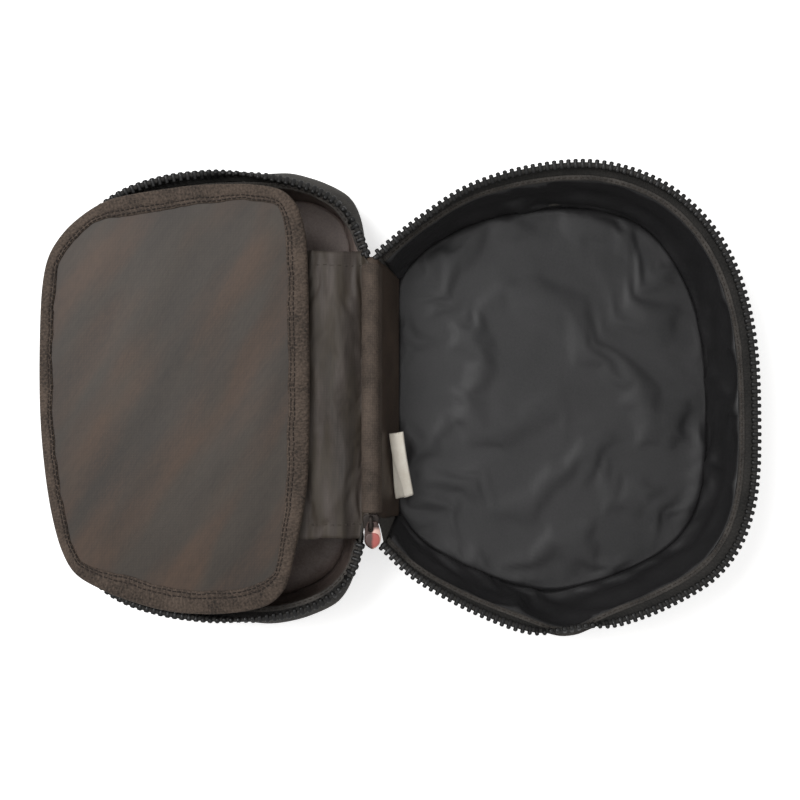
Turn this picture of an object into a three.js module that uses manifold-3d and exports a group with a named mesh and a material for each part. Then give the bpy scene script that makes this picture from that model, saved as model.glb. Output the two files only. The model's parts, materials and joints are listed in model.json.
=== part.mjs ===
// Zip-round pencil case lying open like a book, in millimetres with +Z up.
// The deep half stands on the +X side of the spine, the cover half with its padded page on the -X side.
// Both halves are flat-bottomed fabric trays. The spine fold runs along Y and is the hinge line.
import * as THREE from 'three';
import { mergeVertices } from 'three/addons/utils/BufferGeometryUtils.js';
import Module from 'manifold-3d';

const wasm = await Module();
wasm.setup();

// Driving dimensions
const FOLD_Z = 50; // hinge line of the spine above the table
const TEETH_Z = 46.5; // top of the zip teeth
const CHAIN_HEIGHT = 3.1;
const CHAIN_WIDTH = 2.6;
const SEAM_Z = 36; // side walls end here, where the zip tape is sewn on
const SEAM_HEIGHT = 2;
const WALL = 2.2; // fabric and foam of a side wall
const LINING = 0.8;
const LINING_ROOM = 0.9; // between side wall and its lining
const GAP = 0.3; // room between neighbouring pieces
const PANEL = 2.4; // base panel, fabric and foam
const BOARD = 1.3; // stiffener board
const PIPING = 3;
const TAPE = 1;
const PAGE = 5; // padded page with its binding
const PAGE_SKIN = 1.5;
const BINDING_WIDTH = 2.6;
const STRIP = 0.8; // hinge strip of the page
const CENTRE_X = 14.5; // middle of the open case, measured from the spine
const STATIONS = 56; // steps along each rim
const PAGE_STATIONS = 72; // steps round the page

// Plan outlines from the upper end of the spine round to its lower end, [x, y] from the spine
const MAIN_BASE = [
  [11, 66], [26, 83], [52, 97], [84, 104.5], [118, 105], [147, 95], [166, 73], [178, 42], [182, 0],
  [180, -46], [168, -74], [143, -92], [112, -102.5], [88, -104.5], [56, -95], [26, -79], [11, -63],
];
const MAIN_RIM = [
  [5, 74], [24, 92], [50, 108.5], [84, 118], [118, 118.5], [150, 106.5], [174, 82], [189, 46], [194, 0],
  [191, -52], [176, -84], [147, -103], [112, -115.5], [88, -118], [56, -107], [24, -89.5], [6.5, -73],
];
const COVER_BASE = [
  [-10, 68], [-9.5, 85], [-16, 99.5], [-31, 108.5], [-54, 111], [-80, 110], [-107, 105], [-134, 92.5],
  [-150, 68], [-157.5, 35], [-158, 0], [-157.5, -35], [-150, -66], [-133, -89], [-107, -101], [-78, -107],
  [-53, -107.5], [-34, -102.5], [-20, -92.5], [-12, -79.5], [-10, -66],
];
const COVER_RIM = [
  [-3.5, 75], [-7.8, 89], [-20, 102.8], [-43, 111.6], [-75, 115], [-107, 111.5], [-134, 99.5], [-153, 75], [-162.5, 38],
  [-164, 0], [-162.5, -38], [-153, -73], [-133, -96.5], [-107, -107.5], [-75, -111.5], [-46, -110], [-23, -102.3],
  [-9.8, -88.2], [-5.5, -73],
];
const PAGE_RIM = [
  [-30.5, 0], [-31, 48], [-31.8, 74], [-33, 85], [-37, 97], [-45, 104.5], [-58, 107], [-70, 107.4], [-87.5, 106.7],
  [-103, 104.7], [-117, 102.5], [-129, 99.8], [-139, 94.8], [-149, 87], [-156, 78.7], [-160.5, 70], [-163, 58],
  [-164.2, 40], [-164.6, 10], [-163.8, -15], [-161.3, -40], [-157.8, -60], [-153, -76], [-146, -87], [-132, -95],
  [-117, -100.7], [-100, -105], [-82.5, -106.4], [-70, -105.9], [-58.5, -104.2], [-49, -100.5], [-42, -92],
  [-38, -77], [-34, -57], [-31.5, -38],
];

// A closed body from sections of equal point count, capped at both ends
function loft(sections) {
  const sides = sections[0].length;
  const points = sections.flat();
  const faces = [];
  for (let i = 0; i + 1 < sections.length; i += 1) {
    for (let j = 0; j < sides; j += 1) {
      const a = i * sides + j;
      const b = i * sides + ((j + 1) % sides);
      faces.push(a, b, b + sides, a, b + sides, a + sides);
    }
  }
  const last = (sections.length - 1) * sides;
  for (let j = 1; j + 1 < sides; j += 1) {
    faces.push(0, j + 1, j);
    faces.push(last, last + j, last + j + 1);
  }
  const geometry = new THREE.BufferGeometry().setFromPoints(points);
  geometry.setIndex(faces);
  return facingOut(geometry);
}

// Turns the faces over when the body's signed volume is negative
function facingOut(geometry) {
  const index = geometry.index.array;
  const a = new THREE.Vector3();
  const b = new THREE.Vector3();
  const c = new THREE.Vector3();
  let volume = 0;
  for (let i = 0; i < index.length; i += 3) {
    a.fromBufferAttribute(geometry.attributes.position, index[i]);
    b.fromBufferAttribute(geometry.attributes.position, index[i + 1]);
    c.fromBufferAttribute(geometry.attributes.position, index[i + 2]);
    volume += a.dot(b.cross(c));
  }
  if (volume < 0) {
    index.reverse();
  }
  geometry.computeVertexNormals();
  return geometry;
}

// Adds to each point of a line its inward direction, square to the line
function facingInward(points) {
  const side = points[STATIONS / 2].x > 0 ? 1 : -1;
  return points.map(({ x, y }, i) => {
    const before = points[Math.max(i - 1, 0)];
    const after = points[Math.min(i + 1, STATIONS)];
    const length = Math.hypot(after.x - before.x, after.y - before.y);
    return {
      x,
      y,
      inX: (side * (after.y - before.y)) / length,
      inY: (-side * (after.x - before.x)) / length,
    };
  });
}

// Evenly spaced stations of an open outline
function stationsOf(outline) {
  const points = outline.map(([x, y]) => new THREE.Vector3(x, y, 0));
  const curve = new THREE.CatmullRomCurve3(points, false, 'centripetal');
  return facingInward(curve.getSpacedPoints(STATIONS));
}

const mainBase = stationsOf(MAIN_BASE);
const mainRim = stationsOf(MAIN_RIM);
const coverBase = stationsOf(COVER_BASE);
const coverRim = stationsOf(COVER_RIM);

// How far out from base to rim the wall top lies: near the rim at the spine, then the given share
function seamShare(i, share) {
  const fromEnd = Math.min(i, STATIONS - i) / STATIONS;
  return share + (0.9 - share) * (1 - THREE.MathUtils.smoothstep(fromEnd, 0, 0.2));
}

// A line part of the way from one outline to another
function between(from, to, shareAt) {
  return facingInward(from.map((a, i) => ({
    x: a.x + (to[i].x - a.x) * shareAt(i),
    y: a.y + (to[i].y - a.y) * shareAt(i),
  })));
}

function seamLine(base, rim, share) {
  return between(base, rim, (i) => seamShare(i, share));
}

const mainSeam = seamLine(mainBase, mainRim, 0.6);
const coverSeam = seamLine(coverBase, coverRim, 0.35);

function inset(station, distance, z) {
  return new THREE.Vector3(station.x + station.inX * distance, station.y + station.inY * distance, z);
}

// A strip of fabric following an outline, from a low edge to a high edge, of one thickness in plan
function band(low, lowInset, lowZ, high, highInset, highZ, thickness) {
  return loft(low.map((station, i) => [
    inset(station, lowInset, lowZ),
    inset(high[i], highInset, highZ),
    inset(high[i], highInset + thickness, highZ),
    inset(station, lowInset + thickness, lowZ),
  ]));
}

// The closed plan shape inside an outline, straight along the spine
function planShape(line, distance) {
  return new THREE.Shape(line.map((s) => {
    const p = inset(s, distance, 0);
    return new THREE.Vector2(p.x, p.y);
  }));
}

function plate(shape, lowZ, highZ) {
  const geometry = new THREE.ExtrudeGeometry(shape, { depth: highZ - lowZ, bevelEnabled: false });
  return geometry.translate(0, 0, lowZ);
}

// The hole's points run the opposite way to the outline's, as a shape with a hole needs
function ringPlate(outer, inner, lowZ, highZ) {
  const hole = inner.getPoints();
  if (THREE.ShapeUtils.isClockWise(hole) === THREE.ShapeUtils.isClockWise(outer.getPoints())) {
    hole.reverse();
  }
  outer.holes = [new THREE.Path(hole)];
  return plate(outer, lowZ, highZ);
}

// A straight piece along Y with the same XZ section from end to end
function alongSpine(section, fromY, toY) {
  const shape = new THREE.Shape(section.map(([x, z]) => new THREE.Vector2(x, z)));
  const geometry = new THREE.ExtrudeGeometry(shape, { depth: toY - fromY, bevelEnabled: false });
  return geometry.rotateX(Math.PI / 2).translate(0, toY, 0);
}

const pencilCase = new THREE.Group();
pencilCase.position.x = -CENTRE_X;

const finishes = {
  outer: { color: 0x3a3532, roughness: 0.85 },
  lining: { color: 0x2b2929, roughness: 0.55 },
  board: { color: 0x6b6357, roughness: 0.9 },
  tape: { color: 0x3b3836, roughness: 0.9 },
  teeth: { color: 0x2a2a2a, roughness: 0.5 },
  page: { color: 0x544d46, roughness: 0.45 },
  binding: { color: 0x483f38, roughness: 0.9 },
  hinge: { color: 0x57504a, roughness: 0.6 },
  metal: { color: 0x2e2c2b, roughness: 0.35, metalness: 0.8 },
  enamel: { color: 0xb8616a, roughness: 0.35 },
  label: { color: 0xe1dacd, roughness: 0.7 },
};

function add(name, geometry, finish, parent = pencilCase) {
  const mesh = new THREE.Mesh(geometry, new THREE.MeshStandardMaterial(finishes[finish]));
  mesh.name = name;
  parent.add(mesh);
  return mesh;
}

// Heights shared by both trays
const boardZ = PANEL + GAP;
const baseLiningZ = boardZ + BOARD + GAP;
const wallZ = PIPING + 0.4 + GAP;
const wallLiningZ = baseLiningZ + LINING + GAP;
const foldedEdgeZ = SEAM_Z + GAP;
const tapeZ = foldedEdgeZ + SEAM_HEIGHT + GAP;
const chainZ = TEETH_Z - CHAIN_HEIGHT;

// Base panel, piping round it, stiffener board and base lining of one tray
function trayBase(half, base) {
  add(`${half}_base_panel`, plate(planShape(base, PIPING + GAP), 0, PANEL), 'outer');
  const piping = ringPlate(planShape(base, 0), planShape(base, PIPING), 0.4, PIPING + 0.4);
  add(`${half}_base_piping`, piping, 'outer');
  add(`${half}_base_board`, plate(planShape(base, PIPING + 2), boardZ, boardZ + BOARD), 'board');
  const lining = plate(planShape(base, WALL + GAP + LINING), baseLiningZ, baseLiningZ + LINING);
  add(`${half}_base_lining`, lining, 'lining');
}

// Side wall, its lining and its folded, topstitched upper edge
function trayWalls(half, base, seam) {
  add(`${half}_gusset`, band(base, 0, wallZ, seam, 0, SEAM_Z, WALL), 'outer');
  const inside = WALL + LINING_ROOM;
  const liningFoot = between(base, seam, () => (wallLiningZ - wallZ) / (SEAM_Z - wallZ));
  const lining = band(liningFoot, inside, wallLiningZ, seam, inside, SEAM_Z, LINING);
  add(`${half}_wall_lining`, lining, 'lining');
  const foldedWidth = WALL + LINING_ROOM + LINING;
  const foldedTop = foldedEdgeZ + SEAM_HEIGHT;
  add(`${half}_rim_fold`, band(seam, 0, foldedEdgeZ, seam, 0, foldedTop, foldedWidth), 'outer');
}

// Zip tape from the folded edge up to the teeth, and the row of teeth on it
function trayZip(half, seam, rim) {
  const tape = band(seam, 0.4, tapeZ, rim, CHAIN_WIDTH / 2, chainZ - GAP, TAPE);
  add(`${half}_zip_tape`, tape, 'tape');
  add(`${half}_zip_chain`, band(rim, 0, chainZ, rim, 0, TEETH_Z, CHAIN_WIDTH), 'teeth');
}

// Half of the spine panel and its lining: a slanted wall from the base up to the fold
const SPINE_TOP_Z = 45.5;
const SPINE_LOW_X = 10.6;
const SPINE_HIGH_X = 2.2;
const SPINE_Y = { low: [-60.5, 63.5], high: [-55, 69.2] };

function slantedWall(side, offset, thickness, lowZ) {
  const rise = (lowZ - wallZ) / (SPINE_TOP_Z - wallZ);
  const lowX = SPINE_LOW_X + (SPINE_HIGH_X - SPINE_LOW_X) * rise + offset;
  const highX = SPINE_HIGH_X + offset;
  const section = (x, [fromY, toY], z) => [
    new THREE.Vector3(side * x, fromY, z),
    new THREE.Vector3(side * (x + thickness), fromY, z),
    new THREE.Vector3(side * (x + thickness), toY, z),
    new THREE.Vector3(side * x, toY, z),
  ];
  return loft([section(lowX, SPINE_Y.low, lowZ), section(highX, SPINE_Y.high, SPINE_TOP_Z)]);
}

function traySpine(half, side) {
  add(`${half}_spine_wall`, slantedWall(side, 0, WALL - 0.2, wallZ), 'outer');
  add(`${half}_spine_lining`, slantedWall(side, WALL - 0.2 + GAP, LINING, wallLiningZ), 'lining');
}

// Moulded stop at the upper end of a row of teeth
function endStop(half, rim) {
  const [length, width, height] = [3.4, CHAIN_WIDTH, CHAIN_HEIGHT];
  const along = Math.atan2(rim[1].y - rim[0].y, rim[1].x - rim[0].x);
  const stop = add(`${half}_end_stop`, new THREE.BoxGeometry(length, width, height), 'teeth');
  const back = length / 2 + GAP;
  stop.position.set(
    rim[0].x - Math.cos(along) * back + (rim[0].inX * width) / 2,
    rim[0].y - Math.sin(along) * back + (rim[0].inY * width) / 2,
    chainZ + height / 2,
  );
  stop.rotation.z = along;
}

function tray(half, side, base, seam, rim) {
  trayBase(half, base);
  trayWalls(half, base, seam);
  traySpine(half, side);
  trayZip(half, seam, rim);
  endStop(half, rim);
}

tray('main', 1, mainBase, mainSeam, mainRim);
tray('cover', -1, coverBase, coverSeam, coverRim);

// The fold of the spine panel over the hinge line
function spineFold() {
  const rightHalf = [[2.2, 48.3], [3.3, 46.9], [2.6, 46.2], [1.6, 47.3]];
  const leftHalf = rightHalf.map(([x, z]) => [-x, z]).reverse();
  const section = [[0, 49], ...rightHalf, [0, 47.9], ...leftHalf];
  add('spine_fold', alongSpine(section, -54, 69), 'hinge');
}

// Folded ribbon label, sewn by its upper end to the lining of the spine wall
function labelTag() {
  const label = add('label_tag', new THREE.BoxGeometry(7.4, 35.5, 0.9), 'label');
  label.position.set(15.8, -34, 25);
  label.rotation.set(THREE.MathUtils.degToRad(13), THREE.MathUtils.degToRad(-14), THREE.MathUtils.degToRad(8.5));
}

spineFold();
labelTag();

// Page: a rounded sheet that narrows towards its lower corner beside the spine
function pageShape(distance) {
  const points = PAGE_RIM.map(([x, y]) => new THREE.Vector3(x, y, 0));
  const line = new THREE.CatmullRomCurve3(points, true, 'centripetal').getSpacedPoints(PAGE_STATIONS).slice(0, -1);
  return new THREE.Shape(line.map(({ x, y }, i) => {
    const before = line[(i + PAGE_STATIONS - 1) % PAGE_STATIONS];
    const after = line[(i + 1) % PAGE_STATIONS];
    const length = Math.hypot(after.x - before.x, after.y - before.y);
    const squareX = (before.y - after.y) / length;
    const squareY = (after.x - before.x) / length;
    return new THREE.Vector2(x + squareX * distance, y + squareY * distance);
  }));
}

function page() {
  const low = FOLD_Z - PAGE / 2;
  const high = FOLD_Z + PAGE / 2;
  const inside = BINDING_WIDTH + GAP;
  add('page_binding', ringPlate(pageShape(0), pageShape(BINDING_WIDTH), low, high), 'binding');
  add('page_back', plate(pageShape(inside), low, low + PAGE_SKIN), 'page');
  add('page_board', plate(pageShape(inside + 2), low + PAGE_SKIN + GAP, high - PAGE_SKIN - GAP), 'board');
  add('page_front', plate(pageShape(inside), high - PAGE_SKIN, high), 'page');
}

// Hinge strip: sewn under the page's inner edge and running up to the spine fold
function hingeStrip() {
  const under = FOLD_Z - PAGE / 2 - GAP;
  const section = [
    [-5.3, FOLD_Z - 0.4], [-5.3, FOLD_Z - 0.4 - STRIP], [-29, under - STRIP], [-40, under - STRIP],
    [-40, under], [-29, under],
  ];
  add('page_hinge_strip', alongSpine(section, -70, 75), 'hinge');
}

page();
hingeStrip();

function solidOf(geometry) {
  geometry.deleteAttribute('normal');
  geometry.deleteAttribute('uv');
  const merged = mergeVertices(geometry, 1e-4);
  return new wasm.Manifold(new wasm.Mesh({
    numProp: 3,
    vertProperties: new Float32Array(merged.attributes.position.array),
    triVerts: new Uint32Array(merged.index.array),
  }));
}

function geometryOf(solid) {
  const mesh = solid.getMesh();
  const geometry = new THREE.BufferGeometry();
  geometry.setAttribute('position', new THREE.BufferAttribute(mesh.vertProperties, 3));
  geometry.setIndex(new THREE.BufferAttribute(mesh.triVerts, 1));
  geometry.computeVertexNormals();
  return geometry;
}

// Zip slider: two plates on a post, shield-shaped in plan, with the bridge that carries the pull
const SLIDER_Y = [-67.5, -57]; // nose and tail
const SLIDER_HALF = 4.2;
const SLIDER_Z = [43.2, 44.3, 46.9, 48.1]; // bottom plate and top plate
const BRIDGE_HALF = 0.9;

function sliderBody() {
  const [low, lowTop, highBottom, high] = SLIDER_Z;
  const section = [
    [-SLIDER_HALF, low], [SLIDER_HALF, low], [SLIDER_HALF, lowTop], [1, lowTop], [1, highBottom],
    [SLIDER_HALF, highBottom], [SLIDER_HALF, high], [-SLIDER_HALF, high], [-SLIDER_HALF, highBottom],
    [-1, highBottom], [-1, lowTop], [-SLIDER_HALF, lowTop],
  ];
  const plan = new THREE.Shape();
  plan.moveTo(-2.6, SLIDER_Y[0]);
  plan.lineTo(2.6, SLIDER_Y[0]);
  plan.quadraticCurveTo(3.6, -62, SLIDER_HALF, -59.5);
  plan.quadraticCurveTo(SLIDER_HALF, SLIDER_Y[1], 0, SLIDER_Y[1]);
  plan.quadraticCurveTo(-SLIDER_HALF, SLIDER_Y[1], -SLIDER_HALF, -59.5);
  plan.quadraticCurveTo(-3.6, -62, -2.6, SLIDER_Y[0]);
  const blank = solidOf(alongSpine(section, SLIDER_Y[0], SLIDER_Y[1]));
  return blank.intersect(solidOf(plate(plan, low - 1, high + 1)));
}

function sliderBridge() {
  const arch = new THREE.Shape();
  arch.moveTo(-57.8, 47.6);
  arch.lineTo(-57.8, 50.2);
  arch.quadraticCurveTo(-57.8, 51.2, -59, 51.2);
  arch.lineTo(-63.4, 51.2);
  arch.quadraticCurveTo(-64.6, 51.2, -64.6, 50);
  arch.lineTo(-64.6, 47.6);
  arch.lineTo(-63.8, 47.6);
  arch.lineTo(-63.8, 50.2);
  arch.lineTo(-58.8, 50.2);
  arch.lineTo(-58.8, 47.6);
  arch.closePath();
  const bridge = new THREE.ExtrudeGeometry(arch, { depth: 2 * BRIDGE_HALF, bevelEnabled: false });
  bridge.rotateX(Math.PI / 2).rotateZ(Math.PI / 2).translate(-BRIDGE_HALF, 0, 0);
  return solidOf(bridge);
}

function zipSlider() {
  add('zip_slider', geometryOf(sliderBody().add(sliderBridge())), 'metal');
}

// Pull: a drop-shaped tongue whose end bar lies in the bridge
const PULL_Z = [48.4, 49.6];

function pullTab() {
  const outline = new THREE.Shape();
  outline.moveTo(-1.9, -60.2);
  outline.lineTo(1.9, -60.2);
  outline.bezierCurveTo(2.4, -64, 3.6, -67, 3.6, -69.8);
  outline.quadraticCurveTo(3.4, -72.6, 0, -74.4);
  outline.quadraticCurveTo(-3.4, -72.6, -3.6, -69.8);
  outline.bezierCurveTo(-3.6, -67, -2.4, -64, -1.9, -60.2);
  const eye = new THREE.Path();
  eye.moveTo(-1.3, -61.3);
  eye.lineTo(-1.3, -65.8);
  eye.lineTo(1.3, -65.8);
  eye.lineTo(1.3, -61.3);
  eye.closePath();
  outline.holes = [eye];
  add('pull_tab', plate(outline, PULL_Z[0], PULL_Z[1]), 'enamel');
}

zipSlider();
pullTab();

export default pencilCase;
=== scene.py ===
import json
import math

import bpy
import numpy as np
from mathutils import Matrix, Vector, noise


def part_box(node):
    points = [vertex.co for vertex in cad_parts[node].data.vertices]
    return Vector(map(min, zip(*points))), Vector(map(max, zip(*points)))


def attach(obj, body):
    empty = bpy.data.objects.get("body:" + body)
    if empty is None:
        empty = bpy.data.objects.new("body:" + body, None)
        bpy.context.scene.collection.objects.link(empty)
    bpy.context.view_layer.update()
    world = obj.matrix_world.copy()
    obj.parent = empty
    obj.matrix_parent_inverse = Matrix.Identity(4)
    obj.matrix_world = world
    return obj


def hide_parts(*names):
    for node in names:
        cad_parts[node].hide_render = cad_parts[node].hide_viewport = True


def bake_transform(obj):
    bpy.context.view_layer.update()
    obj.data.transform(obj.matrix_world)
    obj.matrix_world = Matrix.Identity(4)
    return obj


for spare in ("Cube", "Light", "Camera"):
    if spare in bpy.data.objects:
        bpy.data.objects.remove(bpy.data.objects[spare])
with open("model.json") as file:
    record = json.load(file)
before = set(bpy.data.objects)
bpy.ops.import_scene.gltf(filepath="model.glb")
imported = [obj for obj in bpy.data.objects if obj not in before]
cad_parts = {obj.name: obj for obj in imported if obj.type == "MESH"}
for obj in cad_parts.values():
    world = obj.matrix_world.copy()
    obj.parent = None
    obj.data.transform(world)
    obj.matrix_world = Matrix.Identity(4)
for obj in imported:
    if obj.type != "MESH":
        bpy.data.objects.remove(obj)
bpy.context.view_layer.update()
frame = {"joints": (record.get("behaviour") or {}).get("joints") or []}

# ---------------------------------------------------------------------------------------------
# The table, the light and the camera.
# The case lies open on a plain pale table under two broad soft lamps, seen from straight above.
# ---------------------------------------------------------------------------------------------
scene = bpy.context.scene
scene.view_settings.view_transform = "Standard"

EYE_HEIGHT = 0.600
VIEW_WIDTH = 0.4341  # of the table, at its own level


def lamp(name, place, size, power, aim=(0, 0, 0)):
    light = bpy.data.lights.new(name, "AREA")
    light.shape = "RECTANGLE"
    light.size, light.size_y = size
    light.energy = power
    stand = bpy.data.objects.new(name, light)
    stand.location = place
    stand.rotation_euler = (Vector(aim) - Vector(place)).to_track_quat("-Z", "Y").to_euler()
    scene.collection.objects.link(stand)


lamp("window", (-0.55, 0.32, 1.05), (0.6, 0.6), 10.0)
lamp("ceiling", (0.10, -0.10, 1.40), (1.0, 1.0), 3.5)


def node(tree, kind, values=None, feeds=None, **settings):
    """A shader node. values are its fixed inputs, feeds the outputs that are linked to its inputs."""
    made = tree.nodes.new("ShaderNode" + kind)
    for key, value in settings.items():
        setattr(made, key, value)
    for key, value in (values or {}).items():
        made.inputs[key].default_value = value
    for key, source in (feeds or {}).items():
        tree.links.new(source, made.inputs[key])
    return made


sky = bpy.data.worlds.new("room")
scene.world = sky
sky.use_nodes = True
tree = sky.node_tree
room_light = tree.nodes["Background"]
room_light.inputs["Color"].default_value = (1.0, 0.985, 0.96, 1)
room_light.inputs["Strength"].default_value = 0.25
white_wall = node(tree, "Background")
rays = node(tree, "LightPath").outputs
through_glass = {0: rays["Is Glossy Ray"], 1: rays["Is Transmission Ray"]}
either = node(tree, "Math", feeds=through_glass, operation="MAXIMUM")
seen = node(tree, "Math", feeds={0: rays["Is Camera Ray"], 1: either.outputs[0]}, operation="MAXIMUM")
backdrop = {0: seen.outputs[0], 1: room_light.outputs[0], 2: white_wall.outputs[0]}
choose = node(tree, "MixShader", feeds=backdrop)
tree.links.new(choose.outputs[0], tree.nodes["World Output"].inputs[0])

table_mesh = bpy.data.meshes.new("table")
table_mesh.from_pydata([(-3, -3, 0), (3, -3, 0), (3, 3, 0), (-3, 3, 0)], [], [(0, 1, 2, 3)])
table = bpy.data.objects.new("table", table_mesh)
table.location.z = -0.0005
scene.collection.objects.link(table)
table_top = bpy.data.materials.new("pale_table")
table_top.use_nodes = True
tree = table_top.node_tree
laminate = tree.nodes["Principled BSDF"].inputs
laminate["Base Color"].default_value = (0.86, 0.86, 0.86, 1)
laminate["Roughness"].default_value = 0.9
laminate["Emission Color"].default_value = (1, 1, 1, 1)
seen = node(tree, "LightPath").outputs["Is Camera Ray"]
glow = node(tree, "Math", {1: 0.62}, {0: seen}, operation="MULTIPLY")
tree.links.new(glow.outputs[0], laminate["Emission Strength"])
table_mesh.materials.append(table_top)

eye = bpy.data.cameras.new("eye")
eye.sensor_width = 36.0
eye.lens = eye.sensor_width * EYE_HEIGHT / VIEW_WIDTH
camera = bpy.data.objects.new("eye", eye)
camera.location = (0, 0, EYE_HEIGHT)
scene.collection.objects.link(camera)
scene.camera = camera

# ---------------------------------------------------------------------------------------------
# The two trays' outlines: where each tray's bottom, side wall and zip run.
# Each is a line on the table from the upper end of the spine round to its lower end, as the
# paper pattern gives it. The spine fold is the line that both trays and the page turn on.
# ---------------------------------------------------------------------------------------------
hinge = frame["joints"][0]["pos_m"]
SPINE_X = hinge[0]
FOLD_Z = hinge[2]
SEAM_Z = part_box("main_gusset")[1].z
TEETH_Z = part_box("main_zip_chain")[1].z
STATIONS = 260

MM = 0.001
BOTTOM_LINES = {
    "main": [
        (11, 66), (26, 83), (52, 97), (84, 104.5), (118, 105), (147, 95), (166, 73), (178, 42), (182, 0),
        (180, -46), (168, -74), (143, -92), (112, -102.5), (88, -104.5), (56, -95), (26, -79), (11, -63),
    ],
    "cover": [
        (-10, 68), (-9.5, 85), (-16, 99.5), (-31, 108.5), (-54, 111), (-80, 110), (-107, 105),
        (-134, 92.5), (-150, 68), (-157.5, 35), (-158, 0), (-157.5, -35), (-150, -66), (-133, -89),
        (-107, -101), (-78, -107), (-53, -107.5), (-34, -102.5), (-20, -92.5), (-12, -79.5), (-10, -66),
    ],
}
ZIP_LINES = {
    "main": [
        (3.4, 74.4), (24.5, 91.2), (50.3, 107.6), (84, 117.3), (118, 118.5), (150, 106.5), (174.5, 82),
        (189.3, 46), (194, 0), (191.7, -52.3), (176.6, -84.6), (147.5, -103.7), (112, -116.2),
        (88, -118.8), (55.7, -107.8), (23.6, -90.3), (5.4, -74),
    ],
    "cover": [
        (-1.2, 74.4), (-7.4, 89), (-20, 102.8), (-43, 111.6), (-75, 115), (-107, 111.5), (-134, 99.5),
        (-153, 75), (-162.5, 38), (-164, 0), (-162.5, -38), (-153, -73), (-133, -96.5),
        (-107, -107.5), (-75, -111.5), (-46, -110), (-23, -102.3), (-9.4, -88.6), (-3.9, -73.6),
    ],
}
HALVES = ("main", "cover")
SIDE = {"main": 1, "cover": -1}


def lengths(line):
    """How far along a line each of its points is."""
    return np.concatenate([[0], np.cumsum(np.linalg.norm(np.diff(line, axis=0), axis=1))])


def unit(vectors):
    """Rows of vectors, each made one long."""
    return vectors / np.linalg.norm(vectors, axis=1)[:, None]


def evenly(line, count, looped=False):
    """Points the same distance apart along a line; any columns after x, y and z come with them."""
    if looped:
        line = np.vstack([line, line[:1]])
        count += 1
    along = lengths(line[:, :3])
    at = np.linspace(0, along[-1], count)
    spaced = np.stack([np.interp(at, along, line[:, k]) for k in range(line.shape[1])], axis=1)
    return spaced[:-1] if looped else spaced


def smooth_line(corners, count, looped=False):
    """An even line of points on the smooth curve through the pattern's corners."""
    p = np.array(corners, float)
    ends = (p[-1], p[:2]) if looped else (2 * p[0] - p[1], 2 * p[-1] - p[-2])
    p = np.vstack([ends[0], p, ends[1]])
    t = np.linspace(0, 1, 24, endpoint=False)[:, None]
    parts = [
        0.5 * (2 * b + (c - a) * t + (2 * a - 5 * b + 4 * c - d) * t**2 + (3 * b - a - 3 * c + d) * t**3)
        for a, b, c, d in zip(p, p[1:], p[2:], p[3:])
    ]
    if looped:
        return evenly(np.vstack(parts), count, looped=True)
    return evenly(np.vstack([*parts, p[-2:-1]]), count)


def inward(line, looped=False):
    """For each point of a flat line, the direction square to it that points into the tray."""
    if looped:
        ahead = np.roll(line, -1, axis=0) - np.roll(line, 1, axis=0)
    else:
        ahead = np.gradient(line, axis=0)
    ahead = unit(ahead)
    square = np.stack([ahead[:, 1], -ahead[:, 0]], axis=1)
    middle = line.mean(axis=0)
    if ((middle - line) * square).sum() < 0:
        square = -square
    return square


def ease(value, start, end):
    """0 before start, 1 after end, and an S-curve between."""
    t = np.clip((np.asarray(value, float) - start) / (end - start), 0, 1)
    return t * t * (3 - 2 * t)


def pattern_line(corners, count=STATIONS, looped=False):
    line = smooth_line(corners, count, looped) * MM
    line[:, 0] += SPINE_X
    return line


along_rim = np.linspace(0, 1, STATIONS)
from_spine = np.minimum(along_rim, 1 - along_rim)
bottom = {half: pattern_line(BOTTOM_LINES[half]) for half in HALVES}
zip_edge = {half: pattern_line(ZIP_LINES[half]) for half in HALVES}
SEAM_SHARE = {"main": 0.75, "cover": 0.4}
seam = {}
for half in HALVES:
    out = SEAM_SHARE[half] + (0.9 - SEAM_SHARE[half]) * (1 - ease(from_spine, 0, 0.2))
    seam[half] = bottom[half] + (zip_edge[half] - bottom[half]) * out[:, None]
CURL_X = SPINE_X + 102 * MM  # where the zip curls in over the main tray, at the middle of its lower side
curl = {"cover": np.zeros(STATIONS)}
curl["main"] = np.exp(-(((zip_edge["main"][:, 0] - CURL_X) / (17 * MM)) ** 2)) * (zip_edge["main"][:, 1] < 0)
for half in HALVES:
    zip_edge[half] += inward(zip_edge[half]) * 3.0 * MM * curl[half][:, None]
    seam[half] -= inward(seam[half]) * 4.5 * MM * curl[half][:, None]

# ---------------------------------------------------------------------------------------------
# Base panels: the flat bottoms of the two trays, thin foam between layers of polyester cloth.
# Each is cut 3.3 mm inside its tray's outline and lies in the ring of piping.
# ---------------------------------------------------------------------------------------------
THREAD_WAVE = 0.314  # a wave texture of this scale repeats once a metre


def build(name, points, faces, cloth_map, finish):
    """A closed mesh with its faces outwards and a cloth map in metres, one pair for each corner."""
    points = np.asarray(points, float)
    volume = 0.0
    for face in faces:
        for b, c in zip(face[1:], face[2:]):
            volume += points[face[0]] @ np.cross(points[b], points[c])
    if volume < 0:
        faces = [face[::-1] for face in faces]
        cloth_map = [corners[::-1] for corners in cloth_map]
    mesh = bpy.data.meshes.new(name)
    mesh.from_pydata(points.tolist(), [], faces)
    layer = mesh.uv_layers.new(name="cloth")
    flat = np.array([pair for corners in cloth_map for pair in corners], np.float32)
    layer.uv.foreach_set("vector", flat.ravel())
    mesh.materials.append(finish)
    mesh.shade_smooth()
    piece = bpy.data.objects.new(name, mesh)
    scene.collection.objects.link(piece)
    return piece


def between_rings(count, around):
    """Quads between rings that follow one another, each a closed row of points."""
    faces = []
    for i in range(count - 1):
        for j in range(around):
            k = (j + 1) % around
            faces.append([i * around + j, i * around + k, (i + 1) * around + k, (i + 1) * around + j])
    return faces


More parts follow.
